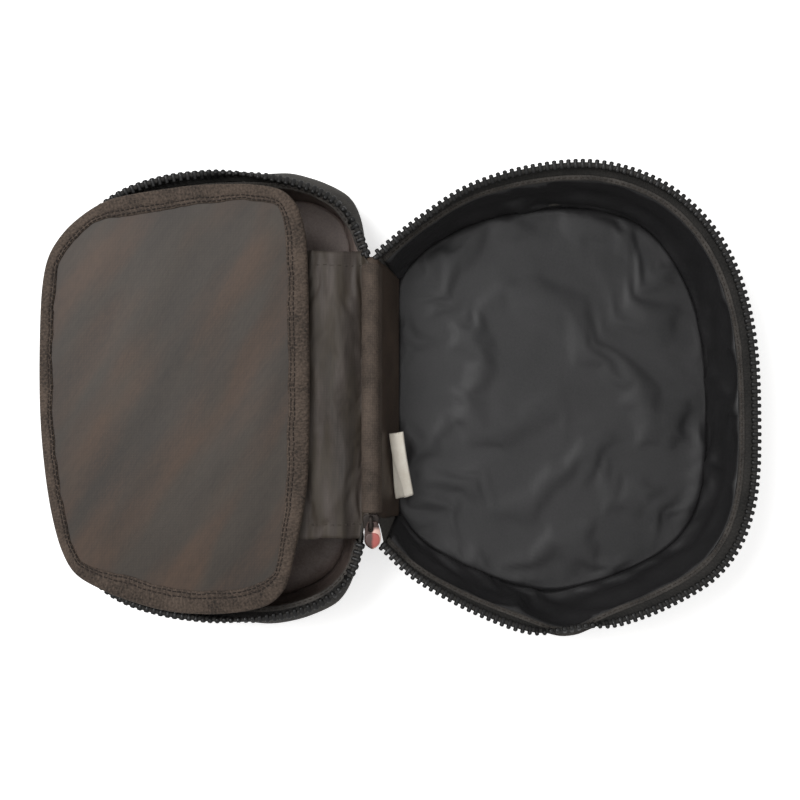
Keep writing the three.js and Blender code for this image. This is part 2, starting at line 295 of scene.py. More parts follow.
def end_faces(count, around):
    """Quads that close the first and the last ring, where a ring's second half faces its first."""
    faces = []
    for start, order in ((0, -1), ((count - 1) * around, 1)):
        for j in range(around // 2 - 1):
            k = around - 1 - j
            faces.append([start + j, start + j + 1, start + k - 1, start + k][::order])
    return faces


def filled(name, line, edge, finish, low=None, high=None, steps=14):
    """A plate inside a closed line. edge is its rim, (inset, height) from the lower face up to the
    upper one; low and high give each face's height at points of the plate, with 1 at its edge and
    0 at its middle."""
    square = inward(line, looped=True)
    middle = line.mean(axis=0)
    count = len(line)
    rows = [np.column_stack([line + square * inset, np.full(count, z)]) for inset, z in edge]

    def face_rows(outer, height, lift):
        made = []
        for share in np.linspace(1, 0, steps + 1)[1:-1] ** 0.9:
            flat = middle + (outer[:, :2] - middle) * share
            z = np.full(count, height) + (0 if lift is None else lift(flat, share))
            made.append(np.column_stack([flat, z]))
        return made

    below = face_rows(rows[0], edge[0][1], low)[::-1]
    above = face_rows(rows[-1], edge[-1][1], high)
    rows = below + rows + above
    points = np.vstack(rows)
    tips = []
    for height, lift in ((edge[0][1], low), (edge[-1][1], high)):
        tips.append([*middle, height + (0 if lift is None else float(np.ravel(lift(middle[None], 0))[0]))])
    points = np.vstack([points, tips])
    faces = between_rings(len(rows), count)
    last = (len(rows) - 1) * count
    for j in range(count):
        k = (j + 1) % count
        faces.append([len(points) - 2, k, j])
        faces.append([len(points) - 1, last + j, last + k])
    cloth_map = [[points[v][:2] for v in face] for face in faces]
    return build(name, points, faces, cloth_map, finish)


def principled(name, values):
    """A new material, its tree and its shader, with the shader's fixed values."""
    finish = bpy.data.materials.new(name)
    finish.use_nodes = True
    shader = finish.node_tree.nodes["Principled BSDF"]
    for key, value in values.items():
        shader.inputs[key].default_value = value
    return finish, finish.node_tree, shader


def blend_of(tree, dark, light, share):
    """A node that goes from one colour to another."""
    made = node(tree, "Mix", data_type="RGBA")
    made.inputs["A"].default_value = (*dark, 1)
    made.inputs["B"].default_value = (*light, 1)
    tree.links.new(share, made.inputs["Factor"])
    return made


def cloth_finish(
    name, dark, light, thread=0.0006, roughness=0.85, sheen=0.2, depth=0.00012, patch=0.02,
    speckle=0.35, twill=False, stretch=1.0, slant=0.0, other=None,
):
    """Woven cloth. dark and light are its darkest and lightest yarns, thread is the width of one
    yarn, depth how far yarns stand up, patch the size of its rubbed places, stretch times as long
    along slant as across. other is a second colour that the light yarns turn to in broad streaks."""
    cloth, tree, shader = principled(name, {
        "Roughness": roughness, "Specular IOR Level": 0.35, "Sheen Weight": sheen, "Sheen Roughness": 0.5,
        "Sheen Tint": (*light, 1),
    })
    flat = node(tree, "UVMap", uv_map="cloth").outputs[0]
    yarn = {"Scale": THREAD_WAVE / thread / 2, "Distortion": 1.5, "Detail": 1.0, "Detail Scale": 1.0}
    waves = [
        node(tree, "TexWave", yarn, {"Vector": flat}, bands_direction=direction).outputs["Fac"]
        for direction in ("X", "DIAGONAL" if twill else "Y")
    ]
    weave = node(tree, "Math", feeds={0: waves[0], 1: waves[1]}, operation="MULTIPLY").outputs[0]
    place = node(tree, "TexCoord").outputs["Object"]
    turn = {"Scale": (stretch, 1, 1), "Rotation": (0, 0, slant)}
    grain = node(tree, "Mapping", turn, {"Vector": place}, vector_type="TEXTURE").outputs[0]

    def noise_of(size, detail):
        return node(tree, "TexNoise", {"Scale": 1 / size, "Detail": detail}, {"Vector": grain}).outputs["Fac"]

    def ramp(source, low, high, most):
        ends = {"From Min": low, "From Max": high, "To Max": most}
        return node(tree, "MapRange", ends, {"Value": source}).outputs[0]

    fuzz = noise_of(0.0011, 1.5)
    spots = ramp(fuzz, 0.3, 0.7, speckle)
    worn = ramp(noise_of(patch, 3.0), 0.3, 0.7, 0.55)
    yarns = node(tree, "Math", {1: 0.3}, {0: weave, 2: worn}, operation="MULTIPLY_ADD").outputs[0]
    shade = node(tree, "Math", feeds={0: yarns, 1: spots}, operation="ADD", use_clamp=True).outputs[0]
    colour = blend_of(tree, dark, light, shade)
    if other:
        streak = ramp(noise_of(patch * 0.7, 1.0), 0.4, 0.6, 1.0)
        tree.links.new(blend_of(tree, light, other, streak).outputs["Result"], colour.inputs["B"])
    tree.links.new(colour.outputs["Result"], shader.inputs["Base Color"])
    height = node(tree, "Math", {1: 0.5}, {0: fuzz, 2: weave}, operation="MULTIPLY_ADD").outputs[0]
    relief = node(tree, "Bump", {"Strength": 0.6, "Distance": depth}, {"Height": height})
    tree.links.new(relief.outputs[0], shader.inputs["Normal"])
    return cloth


def tone(red, green, blue):
    """A colour as a swatch card gives it, 0 to 255, in the shader's own scale."""
    return tuple(((v / 255 + 0.055) / 1.055) ** 2.4 for v in (red, green, blue))


def lumps(points, size, seed):
    """Smooth random heights from -1 to 1 at points, with lumps of about that size along x, y, z."""
    return np.array([noise.noise(Vector(np.array(p) / size) + Vector((seed * 9.1, 0, 0))) for p in points])


def closed_outline(half):
    """A tray's outline closed along the spine, with its two corners there rounded."""
    line = evenly(bottom[half], 220, looped=True)
    for _ in range(3):
        line = (np.roll(line, 1, axis=0) + line * 2 + np.roll(line, -1, axis=0)) / 4
    return evenly(line, 220, looped=True)


outer_cloth = cloth_finish(
    "outer_polyester", tone(34, 33, 32), tone(78, 75, 71), thread=0.0007, patch=0.018, speckle=0.3,
)
PANEL_INSET = 3.3 * MM
floor_line = {half: closed_outline(half) for half in HALVES}
for half in HALVES:
    edge = [(2.2, 0.15), (1.0, 0.3), (0.2, 0.9), (0.2, 1.5), (1.0, 2.2), (2.0, 2.4)]
    rim = [(PANEL_INSET + inset * MM, z * MM) for inset, z in edge]

    def sag(flat, share):
        dents = lumps(np.column_stack([flat, np.zeros(len(flat))]), 0.05, SIDE[half])
        return -0.00015 * ease(1 - share, 0, 0.1) + 0.0001 * dents * ease(1 - share, 0, 0.3)

    panel = filled(f"{half}_bottom_panel", floor_line[half], rim, outer_cloth, low=sag)
    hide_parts(f"{half}_base_panel")
    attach(panel, f"{half}_half")

# ---------------------------------------------------------------------------------------------
# Piping: a 3 mm cord in a bias strip of the outer cloth, all the way round each base panel.
# It is caught in the seam between base panel and side wall.
# ---------------------------------------------------------------------------------------------


def sweep(name, rings, finish, looped=False):
    """A closed body through rings of points. The second half of a ring faces its first half, so
    that the two ends close with a row of quads."""
    rings = np.asarray(rings, float)
    count, around = rings.shape[:2]
    closing = np.concatenate([rings, rings[:1]]) if looped else rings
    step = np.linalg.norm(np.diff(closing, axis=0), axis=2).mean(axis=1)
    along = np.concatenate([[0], np.cumsum(step)])
    turn = np.linalg.norm(np.roll(rings, -1, axis=1) - rings, axis=2).mean(axis=0)
    across = np.concatenate([[0], np.cumsum(turn)])
    faces, cloth_map = [], []
    for i in range(len(closing) - 1):
        here, there = i * around, (i + 1) % count * around
        for j in range(around):
            k = (j + 1) % around
            faces.append([here + j, here + k, there + k, there + j])
            near, far = along[i], along[i + 1]
            cloth_map.append(
                [(near, across[j]), (near, across[j + 1]), (far, across[j + 1]), (far, across[j])]
            )
    points = rings.reshape(-1, 3)
    if not looped:
        ends = end_faces(count, around)
        faces += ends
        cloth_map += [[points[v][1:] for v in face] for face in ends]
    return build(name, points, faces, cloth_map, finish)


def round_rings(centres, out, up, radius_out, radius_up, sides=12):
    """Rings of an oval cord round a line of centres. out and up are one direction, or one a point."""
    out, up = np.broadcast_to(out, centres.shape), np.broadcast_to(up, centres.shape)
    angles = np.linspace(0, 2 * np.pi, sides, endpoint=False)
    radius_out, radius_up = (np.broadcast_to(r, len(centres))[:, None, None] for r in (radius_out, radius_up))
    return (
        centres[:, None]
        + out[:, None] * np.cos(angles)[None, :, None] * radius_out
        + up[:, None] * np.sin(angles)[None, :, None] * radius_up
    )


def raised(line, z):
    """A flat line lifted to a height, or to a height for each point."""
    return np.column_stack([line, np.broadcast_to(z, len(line))])


UP = np.array([0.0, 0.0, 1.0])
bias_strip = cloth_finish(
    "bias_strip", tone(38, 33, 31), tone(78, 70, 64), thread=0.0006, patch=0.01, speckle=0.3, twill=True,
)
for half in HALVES:
    square = inward(floor_line[half], looped=True)
    centre = raised(floor_line[half] + square * 1.5 * MM, 1.95 * MM)
    out = raised(square, 0)
    puckers = 1.5 * MM + 0.12 * MM * lumps(centre, np.array([0.006, 0.006, 0.006]), 3)
    rings = round_rings(centre, out, UP, puckers, puckers)
    piping = sweep(f"{half}_piping", rings, bias_strip, looped=True)
    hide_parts(f"{half}_base_piping")
    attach(piping, f"{half}_half")

# ---------------------------------------------------------------------------------------------
# Stiffener boards: grey fibre board 1.3 to 1.4 mm thick, cut to shape and slipped in early.
# One lies on each base panel and one is inside the page.
# ---------------------------------------------------------------------------------------------


def mottled(name, dark, light, size, detail, values, relief_depth=None):
    """A hard finish that goes from dark to light in specks. Gives the material, its tree, its shader
    and the specks."""
    finish, tree, shader = principled(name, values)
    place = node(tree, "TexCoord").outputs["Object"]
    specks = node(tree, "TexNoise", {"Scale": size, "Detail": detail}, {"Vector": place}).outputs["Fac"]
    tree.links.new(blend_of(tree, dark, light, specks).outputs["Result"], shader.inputs["Base Color"])
    if relief_depth:
        relief = node(tree, "Bump", {"Distance": relief_depth}, {"Height": specks})
        tree.links.new(relief.outputs[0], shader.inputs["Normal"])
    return finish, tree, shader, specks


fibre_board = mottled(
    "fibre_board", tone(88, 82, 74), tone(134, 127, 116), 600, 6, {"Roughness": 0.9}, relief_depth=0.0001,
)[0]
for board in ("main_base_board", "cover_base_board", "page_board"):
    bpy.data.objects[board].material_slots[0].material = fibre_board

# ---------------------------------------------------------------------------------------------
# Side walls: one strip of foam-backed polyester round each tray, from the piping to the zip.
# The foam makes it bow outwards, most of all at the cover's two corners beside the spine.
# ---------------------------------------------------------------------------------------------
WALL_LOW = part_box("main_gusset")[0].z
WALL_THICKNESS = 2.2 * MM
BOW = {"main": 2.2 * MM, "cover": 2.6 * MM}
CORNER_BOW = {"main": (0.5 * MM, 0.5 * MM), "cover": (4.9 * MM, 5.5 * MM)}


def wall_line(half, share):
    """The side wall's flat line at a share of the way from the piping up to the zip."""
    return bottom[half] + (seam[half] - bottom[half]) * share


def near_corner():
    """1 at a tray's corners beside the spine, 0 along the rest of its rim."""
    return ease(from_spine, 0.015, 0.07) * (1 - ease(from_spine, 0.12, 0.22))


def wall_bow(half, share):
    """How far the foam bows the wall out at a share of the way up."""
    upper, lower = CORNER_BOW[half]
    corners = near_corner() * np.where(along_rim < 0.5, upper, lower)
    return (BOW[half] + corners + 2.0 * MM * curl[half]) * math.sin(math.pi * share) ** 0.8


def rim_length(half):
    """How far along the rim each station is."""
    return lengths(seam[half])


def two_faces(front, back):
    """Rings for sweep from the front and back faces of a cloth, each stations by rows of points."""
    return np.concatenate([front, back[:, ::-1]], axis=1)


shares = np.linspace(0, 1, 17)
for half in HALVES:
    outside, inside = [], []
    for share in shares:
        line = wall_line(half, share)
        square = inward(line)
        z = WALL_LOW + (SEAM_Z - WALL_LOW) * share
        spot = np.column_stack([rim_length(half), np.full(STATIONS, z), np.zeros(STATIONS)])
        creases = lumps(spot, np.array([0.013, 0.05, 1]), 11) * 0.9 * MM
        creases += lumps(spot, np.array([0.045, 0.028, 1]), 12) * 0.9 * MM
        creases *= math.sin(math.pi * share) ** 0.6
        tuck = 0.5 * MM * (1 - ease(share, 0, 0.12))
        out = wall_bow(half, share) + creases - tuck
        outside.append(raised(line - square * out[:, None], z))
        inside.append(raised(line - square * (out - WALL_THICKNESS)[:, None], z))
    wall = sweep(
        f"{half}_side_wall", two_faces(np.stack(outside, axis=1), np.stack(inside, axis=1)), outer_cloth,
    )
    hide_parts(f"{half}_gusset")
    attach(wall, f"{half}_half")

# ---------------------------------------------------------------------------------------------
# Linings: thin satin, black in the main tray and brownish grey in the cover, where its colour is
# painted lighter to stand in for the light on the cover's shaded corners. It is sewn in along
# the zip and along the spine, and loose between.
# The floor lining lies over the board; the wall lining is cut long, so it stands in soft folds.
# ---------------------------------------------------------------------------------------------
SATIN_THICKNESS = 0.6 * MM
FLOOR_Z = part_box("main_base_lining")[1].z
SIM_SCALE = 10.0
satin = cloth_finish(
    "lining_satin", tone(20, 20, 21), tone(42, 41, 42), thread=0.00035, roughness=0.5, sheen=0.12,
    depth=0.00004, patch=0.03, speckle=0.25,
)
# painted light: the cover's satin is a lighter copy of the lining, lifted to stand in for light in the
# cover's shaded corners
cover_satin_painted_light = cloth_finish(
    "cover_lining_satin", tone(66, 57, 53), tone(124, 110, 104), thread=0.00035, roughness=0.5, sheen=0.2,
    depth=0.00004, patch=0.03, speckle=0.25,
)
lining_of = {"main": satin, "cover": cover_satin_painted_light}


def settle(grid, pinned, spare, frames=20, bend=0.4, push=0.0):
    """Lets a cloth settle, held where pinned is true. The grid of points is rows by columns, and
    spare is how much longer the cloth was cut each way than the place it is sewn into."""
    rows, columns = grid.shape[:2]
    points = grid.reshape(-1, 3) * SIM_SCALE
    faces = []
    for i in range(rows - 1):
        for j in range(columns - 1):
            a = i * columns + j
            faces.append((a, a + 1, a + columns + 1, a + columns))
    mesh = bpy.data.meshes.new("settling")
    mesh.from_pydata(points.tolist(), [], faces)
    loose = bpy.data.objects.new("settling", mesh)
    scene.collection.objects.link(loose)
    held = loose.vertex_groups.new(name="held")
    held.add(np.flatnonzero(pinned.ravel()).tolist(), 1.0, "REPLACE")
    modifier = loose.modifiers.new("cloth", "CLOTH")
    modifier.settings.quality = 6
    modifier.settings.mass = 0.3
    modifier.settings.tension_stiffness = 15
    modifier.settings.compression_stiffness = 15
    modifier.settings.shear_stiffness = 5
    modifier.settings.bending_stiffness = bend
    modifier.settings.air_damping = 2
    modifier.settings.shrink_min = -spare
    modifier.settings.vertex_group_mass = "held"
    modifier.settings.effector_weights.gravity = push
    modifier.collision_settings.use_collision = False
    modifier.point_cache.frame_start = 1
    modifier.point_cache.frame_end = frames
    for number in range(1, frames + 1):
        scene.frame_set(number)
    shown = loose.evaluated_get(bpy.context.evaluated_depsgraph_get())
    found = np.zeros(len(points) * 3, np.float32)
    shown.data.vertices.foreach_get("co", found)
    bpy.data.objects.remove(loose)
    bpy.data.meshes.remove(mesh)
    scene.frame_set(1)
    return found.reshape(rows, columns, 3).astype(float) / SIM_SCALE


def grid_inside(line, count):
    """A square grid of points stretched so that its edge follows a closed line."""
    middle = line.mean(axis=0)
    spoke = line - middle
    if (spoke[:, 0] * np.roll(spoke[:, 1], -1) - spoke[:, 1] * np.roll(spoke[:, 0], -1)).sum() < 0:
        line = line[::-1]
        spoke = line - middle
    turned = np.arctan2(spoke[:, 1], spoke[:, 0]) + math.pi / 4
    line = np.roll(line, -int(np.argmin(np.abs(turned))), axis=0)
    line = np.vstack([line, line[:1]])
    side = np.linspace(-1, 1, count)
    a, b = np.meshgrid(side, side, indexing="ij")
    reach = np.maximum(np.maximum(abs(a), abs(b)), 1e-9)
    x, y = a / reach, b / reach
    around = np.select(
        [x > 1 - 1e-9, y > 1 - 1e-9, x < -1 + 1e-9], [(y + 1) / 2, 1 + (1 - x) / 2, 2 + (1 - y) / 2],
        3 + (x + 1) / 2,
    )
    at = around / 4 * (len(line) - 1)
    edge = np.stack([np.interp(at, np.arange(len(line)), line[:, k]) for k in range(2)], axis=-1)
    return middle + (edge - middle) * reach[..., None]


WALL_ROOM = 1.2 * MM
FLOOR_LINING_INSET = 2.3 * MM
FLOOR_LIFT = 3.5 * MM  # the most that a fold of the lining may stand up from the floor
WALL_FOLD = 6.5 * MM  # and from the wall
FLOOR_GRID = 90
WALL_ROWS = 15
for half in HALVES:
    square = inward(floor_line[half], looped=True)
    line = floor_line[half] + square * FLOOR_LINING_INSET
    flat = grid_inside(line, FLOOR_GRID)
    z = FLOOR_Z + 0.25 * MM * lumps(np.dstack([flat, flat[..., :1] * 0]).reshape(-1, 3), 0.03, 21)
    start = np.dstack([flat, z.reshape(FLOOR_GRID, FLOOR_GRID)])
    pinned = np.zeros((FLOOR_GRID, FLOOR_GRID), bool)
    pinned[[0, -1], :] = pinned[:, [0, -1]] = True
    start[pinned, 2] = FLOOR_Z
    lying = settle(start, pinned, 0.012)
    lift = lying[..., 2] - FLOOR_Z
    lift = np.where(lift > 0, FLOOR_LIFT * np.tanh(lift / FLOOR_LIFT), 0.12 * lift)
    shift = np.clip(lying[..., :2] - start[..., :2], -2 * MM, 2 * MM)
    top = np.dstack([start[..., :2] + shift, FLOOR_Z + 0.3 * MM + lift])
    under = top - UP * SATIN_THICKNESS
    floor = sweep(f"{half}_floor_lining", two_faces(top, under), lining_of[half])
    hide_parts(f"{half}_base_lining")
    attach(floor, f"{half}_half")

    rows, square_rows = [], []
    for share in np.linspace(0.05, 0.995, WALL_ROWS):
        wall = wall_line(half, share)
        square = inward(wall)
        stand_off = WALL_THICKNESS + WALL_ROOM + SATIN_THICKNESS - 0.6 * wall_bow(half, share)
        z = WALL_LOW + (SEAM_Z - WALL_LOW) * share
        rows.append(raised(wall + square * stand_off[:, None], z))
        square_rows.append(raised(square, 0))
    start = np.stack(rows, axis=1)
    aside = np.stack(square_rows, axis=1)
    spot = np.dstack([
        np.broadcast_to(rim_length(half)[:, None], start.shape[:2]), start[..., 2], start[..., 2] * 0,
    ])
    spot[..., 0] += 1.4 * spot[..., 1]
    nudge = lumps(spot.reshape(-1, 3), np.array([0.055, 0.009, 1]), 31)
    nudge += 0.8 * lumps(spot.reshape(-1, 3), np.array([0.016, 0.04, 1]), 32)
    nudge = nudge.reshape(start.shape[:2])
    sewn = np.zeros(start.shape[:2], bool)
    sewn[:, [0, -1]] = sewn[[0, -1], :] = True
    start = start + aside * np.where(sewn, 0, 1.9 * MM * (nudge + 0.5))[..., None]
    hung = settle(start, sewn, 0.08, bend=0.25)
    moved = ((hung - start) * aside).sum(axis=2)
    most = np.where(moved > 0, WALL_FOLD, 0.7 * MM)
    eased = most * np.tanh(moved / most)
    along_wall = (hung - start - aside * moved[..., None]).clip(-2 * MM, 2 * MM)
    face = start + along_wall + aside * eased[..., None]
    face[..., 2] = np.maximum(face[..., 2], FLOOR_Z + 0.1 * MM)
    lining = sweep(
        f"{half}_wall_lining_cloth", two_faces(face - aside * SATIN_THICKNESS, face), lining_of[half],
    )
    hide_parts(f"{half}_wall_lining")
    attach(lining, f"{half}_half")

# ---------------------------------------------------------------------------------------------
# Folded edges: wall and lining are turned over together under the zip tape and topstitched.
# The stitches are 2.2 mm long, one every 3 mm, in dark polyester thread.
# ---------------------------------------------------------------------------------------------
EDGE_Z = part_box("main_rim_fold")[0].z
EDGE_HALF_WIDTH = 2.2 * MM
EDGE_HALF_HEIGHT = 1.25 * MM
EDGE_INSET = 1.9 * MM
STITCH_LENGTH = 2.2 * MM
STITCH_PITCH = 3.0 * MM


def copies(name, shape, shape_faces, places, axes, finish):
    """One piece of many like bodies: shape's points, in along, out and up, set at each place."""
    shape = np.asarray(shape, float)
    points = (places[:, None] + np.einsum("pk,nkc->npc", shape, axes)).reshape(-1, 3)
    faces, cloth_map = [], []
    for n in range(len(places)):
        shift = n * len(shape)
        faces += [[v + shift for v in face] for face in shape_faces]
        flat = np.column_stack([shape[:, 0] + shape[:, 2], shape[:, 1] + n * 0.01])
        cloth_map += [[flat[v] for v in face] for face in shape_faces]
    return build(name, points, faces, cloth_map, finish)


def stacked(sections):
    """Faces of a body through sections of equal even point count, with its two ends closed."""
    size = len(sections), len(sections[0])
    return [point for section in sections for point in section], between_rings(*size) + end_faces(*size)


def stitch(length, thick):
    """A stitch seen from above: a short thread whose two ends dive into the cloth."""
    sections = []
    half_way = ((0, -0.15, 1), (0.4, 0.15, 0.9), (0.5, 1.1, 0.4))  # along, sunk and thick, to one end
    for at, sink, size in [(-at, sink, size) for at, sink, size in half_way[:0:-1]] + list(half_way):
        ring = []
        for turn in np.linspace(0, 2 * math.pi, 6, endpoint=False):
            out = math.cos(turn) * thick * size
            up = math.sin(turn) * thick * size - sink * thick
            ring.append((at * length, out, up))
        sections.append(ring)
    return stacked(sections)


def axes_along(line, out):
    """Along, out and up directions at each point of a line in space."""
    along = unit(np.gradient(line, axis=0))
    up = unit(np.cross(along, out))
    up *= np.sign(up[:, 2:3])
    out = np.cross(up, along)
    return np.stack([along, out, up], axis=1)


def stitched(name, line, out, finish, pitch=STITCH_PITCH, length=STITCH_LENGTH, thick=0.28 * MM):
    """A row of stitches along a line on a surface."""
    count = max(int(lengths(line)[-1] / pitch), 2)
    both = evenly(np.hstack([line, out]), count)
    shape, faces = stitch(length, thick)
    return copies(name, shape, faces, both[:, :3], axes_along(both[:, :3], both[:, 3:]), finish)


edge_cloth = cloth_finish(
    "edge_polyester", tone(34, 32, 31), tone(82, 78, 74), thread=0.0006, patch=0.012, speckle=0.35,
)
thread = cloth_finish(
    "sewing_thread", tone(30, 27, 25), tone(76, 69, 63), thread=0.0003, patch=0.01, speckle=0.3, sheen=0.1,
)
edge_top = {}
for half in HALVES:
    line = wall_line(half, 1.0)
    square = inward(line)
    lift = 0.35 * MM * lumps(raised(line, 0), 0.012, 41)
    centre = raised(line + square * EDGE_INSET, EDGE_Z + EDGE_HALF_HEIGHT + lift - 0.2 * MM)
    out = raised(-square, 0)
    width = EDGE_HALF_WIDTH * (1 + 0.12 * lumps(raised(line, 0), 0.007, 42))
    edge = sweep(
        f"{half}_folded_edge",
        round_rings(centre, out, UP, width, EDGE_HALF_HEIGHT, sides=14), edge_cloth,
    )
    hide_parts(f"{half}_rim_fold")
    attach(edge, f"{half}_half")
    edge_top[half] = centre + UP * EDGE_HALF_HEIGHT
    seam_row = edge_top[half] - out * 1.2 * MM - UP * 0.16 * MM
    row = stitched(f"{half}_edge_stitches", seam_row[3:-3], out[3:-3], thread)
    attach(row, f"{half}_half")

# ---------------------------------------------------------------------------------------------
# Zip: two woven tapes with a thick bead along the edge, and moulded teeth clamped on the bead.
# The tapes lean outwards, but turn in at the cover's two corners beside the spine and at the
# middle of the main tray's lower side.
# ---------------------------------------------------------------------------------------------
TAPE_THICKNESS = 0.8 * MM
TOOTH_PITCH = 3.55 * MM
TOOTH_LENGTH = 4.8 * MM
TOOTH_HEIGHT = 2.7 * MM
BEAD_RADIUS = 1.0 * MM

tape_weave = cloth_finish(
    "zip_tape_weave", tone(22, 22, 21), tone(52, 50, 48), thread=0.0008, patch=0.015, speckle=0.3,
    depth=0.0002, twill=True,
)
tooth_plastic = mottled(
    "tooth_plastic", tone(9, 9, 9), tone(24, 23, 23), 420, 3,
    {"Roughness": 0.5, "Specular IOR Level": 0.2, "Coat Weight": 0.2, "Coat Roughness": 0.2},
)[0]


def rounded_box(out_half, up_half, along_at):
    """Eight points round a section of a tooth, at a place along it."""
    corner = 0.45
    return [
        (side * out_half * a, along_at, level * up_half * b)
        for side, level, a, b in (
            (1, 1, 1, corner), (1, 1, corner, 1), (-1, 1, corner, 1), (-1, 1, 1, corner),
            (-1, -1, 1, corner), (-1, -1, corner, 1), (1, -1, corner, 1), (1, -1, 1, corner),
        )
    ]


def tooth():
    """One tooth: legs clamped round the bead, a narrower neck, and a rounded head that meshes."""
    half = TOOTH_HEIGHT / 2
    sections = [
        rounded_box(width * MM, half * height, at * TOOTH_LENGTH)
        for at, width, height in (
            (-0.5, 0.7, 0.5), (-0.46, 1.1, 0.85), (-0.34, 1.35, 1), (0.0, 1.4, 1), (0.1, 1.15, 0.95),
            (0.2, 1.0, 0.92), (0.36, 1.08, 0.9), (0.46, 0.85, 0.75), (0.5, 0.4, 0.4),
        )
    ]
    return stacked(sections)


def zip_lean(half):
    """How far the zip leans: 1 is level and outwards, 0 is upright, -1 is level and inwards."""
    if half == "main":
        return 0.9 - 0.25 * near_corner() - 1.3 * curl[half]
    return 0.9 - 1.5 * near_corner()


for half in HALVES:
    square = inward(zip_edge[half])
    lean = zip_lean(half)[:, None]
    out = unit(raised(-square, 0) * lean + UP * (1 - abs(lean)))
    ruffle = 0.5 * MM * lumps(raised(zip_edge[half], 0), 0.03, 51)
    ruffle += 0.2 * MM * lumps(raised(zip_edge[half], 0), 0.009, 52)
    bead = raised(zip_edge[half] + square * 1.2 * MM, TEETH_Z - 1.6 * MM + ruffle)
    axes = axes_along(bead, out)
    foot = edge_top[half] - raised(square, 0) * 0.3 * MM + UP * 0.15 * MM
    fronts, backs = [], []
    for share in np.linspace(0, 1, 9):
        belly = math.sin(math.pi * share)
        middle = foot + (bead - foot) * share - UP * 0.7 * MM * belly
        crinkle = lumps(raised(zip_edge[half], share / 50), 0.011, 53)[:, None]
        middle = middle + UP * 0.25 * MM * belly * crinkle
        fronts.append(middle + axes[:, 2] * TAPE_THICKNESS / 2)
        backs.append(middle - axes[:, 2] * TAPE_THICKNESS / 2)
    tape = sweep(f"{half}_tape", two_faces(np.stack(fronts, axis=1), np.stack(backs, axis=1)), tape_weave)
    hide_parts(f"{half}_zip_tape")
    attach(tape, f"{half}_half")

    cord = round_rings(bead, axes[:, 1], axes[:, 2], BEAD_RADIUS * 1.3, BEAD_RADIUS, sides=10)
    bead_cord = sweep(f"{half}_tape_bead", cord, tape_weave)
    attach(bead_cord, f"{half}_half")

    clamp = bead + axes[:, 1] * 0.5 * MM
    count = int(lengths(clamp)[-1] / TOOTH_PITCH)
    spaced = evenly(np.hstack([clamp, axes[:, 1]]), count)
    shape, faces = tooth()
    teeth = copies(
        f"{half}_zip_teeth", shape, faces, spaced[:, :3], axes_along(spaced[:, :3], spaced[:, 3:]),
        tooth_plastic,
    )
    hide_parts(f"{half}_zip_chain")
    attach(teeth, f"{half}_half")

# ---------------------------------------------------------------------------------------------
# End stops: one moulded block over the bead above the last tooth of each row, in tooth plastic.
# They keep the slider from running off the upper end of the zip.
# ---------------------------------------------------------------------------------------------
for half in HALVES:
    low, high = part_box(f"{half}_end_stop")
    middle = np.array((low + high) / 2) - np.array([SIDE[half] * 1.9 * MM, 0, 0])
    ahead = raised(zip_edge[half][1:2] - zip_edge[half][0:1], 0)[0]
    ahead /= np.linalg.norm(ahead)
    aside = np.cross(ahead, UP)
    block_half = 1.45 * MM
    sections = [
        rounded_box(width * MM, block_half * height, at * MM)
        for at, width, height in (
            (-1.7, 0.8, 0.7), (-1.5, 1.15, 0.95), (-1.1, 1.3, 1), (0, 1.3, 1), (1.1, 1.3, 1),
            (1.5, 1.15, 0.95), (1.7, 0.8, 0.7),
        )
    ]
    shape, faces = stacked(sections)
    stop = copies(
        f"{half}_stop", shape, faces, middle[None], np.stack([aside, ahead, UP])[None], tooth_plastic,
    )
    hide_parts(f"{half}_end_stop")
    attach(stop, f"{half}_half")

# ---------------------------------------------------------------------------------------------
# Spine: one panel of outer cloth that rises from the main tray's base, turns over at the fold
# line and goes down to the cover's base. The satin lining covers it on the inside.
# ---------------------------------------------------------------------------------------------
SPINE_FOOT_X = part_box("main_spine_wall")[1].x - SPINE_X
SPINE_LOWER_END = (-62.5 * MM, -60.5 * MM)  # at the base panels and at the fold
SPINE_UPPER_END = (65.5 * MM, 72.0 * MM)
SPINE_STEPS = 90
FOLD_ROUND = 3.5 * MM  # half the width over which the cloth turns when the cover closes
RIDGE_RADIUS = 2.6 * MM
END_DROOP = 2.8 * MM
PANEL_RIDGE_Z = 46.9 * MM
LINING_RIDGE_Z = 47.0 * MM
TAPE_RIDGE_Z = 47.3 * MM


def spine_section(rise, foot_z, top_z, foot_x):
    """A line over the spine from the main tray's foot to the cover's, and its outward direction."""
    slope = np.linspace(0, 1, 16)
    x = foot_x + (RIDGE_RADIUS - foot_x) * slope
    z = foot_z + (top_z - RIDGE_RADIUS - foot_z) * slope
    turn = np.linspace(0.12, 1, 7) * math.pi / 2
    x = np.concatenate([x, RIDGE_RADIUS * np.cos(turn)])
    z = np.concatenate([z, top_z - RIDGE_RADIUS + RIDGE_RADIUS * np.sin(turn)])
    x = np.concatenate([x, -x[-2::-1]])
    z = np.concatenate([z, z[-2::-1]])
    ahead = unit(np.gradient(np.column_stack([x, z]), axis=0))
    square = np.column_stack([ahead[:, 1], -ahead[:, 0]])
    return x + square[:, 0] * rise, z + square[:, 1] * rise, square


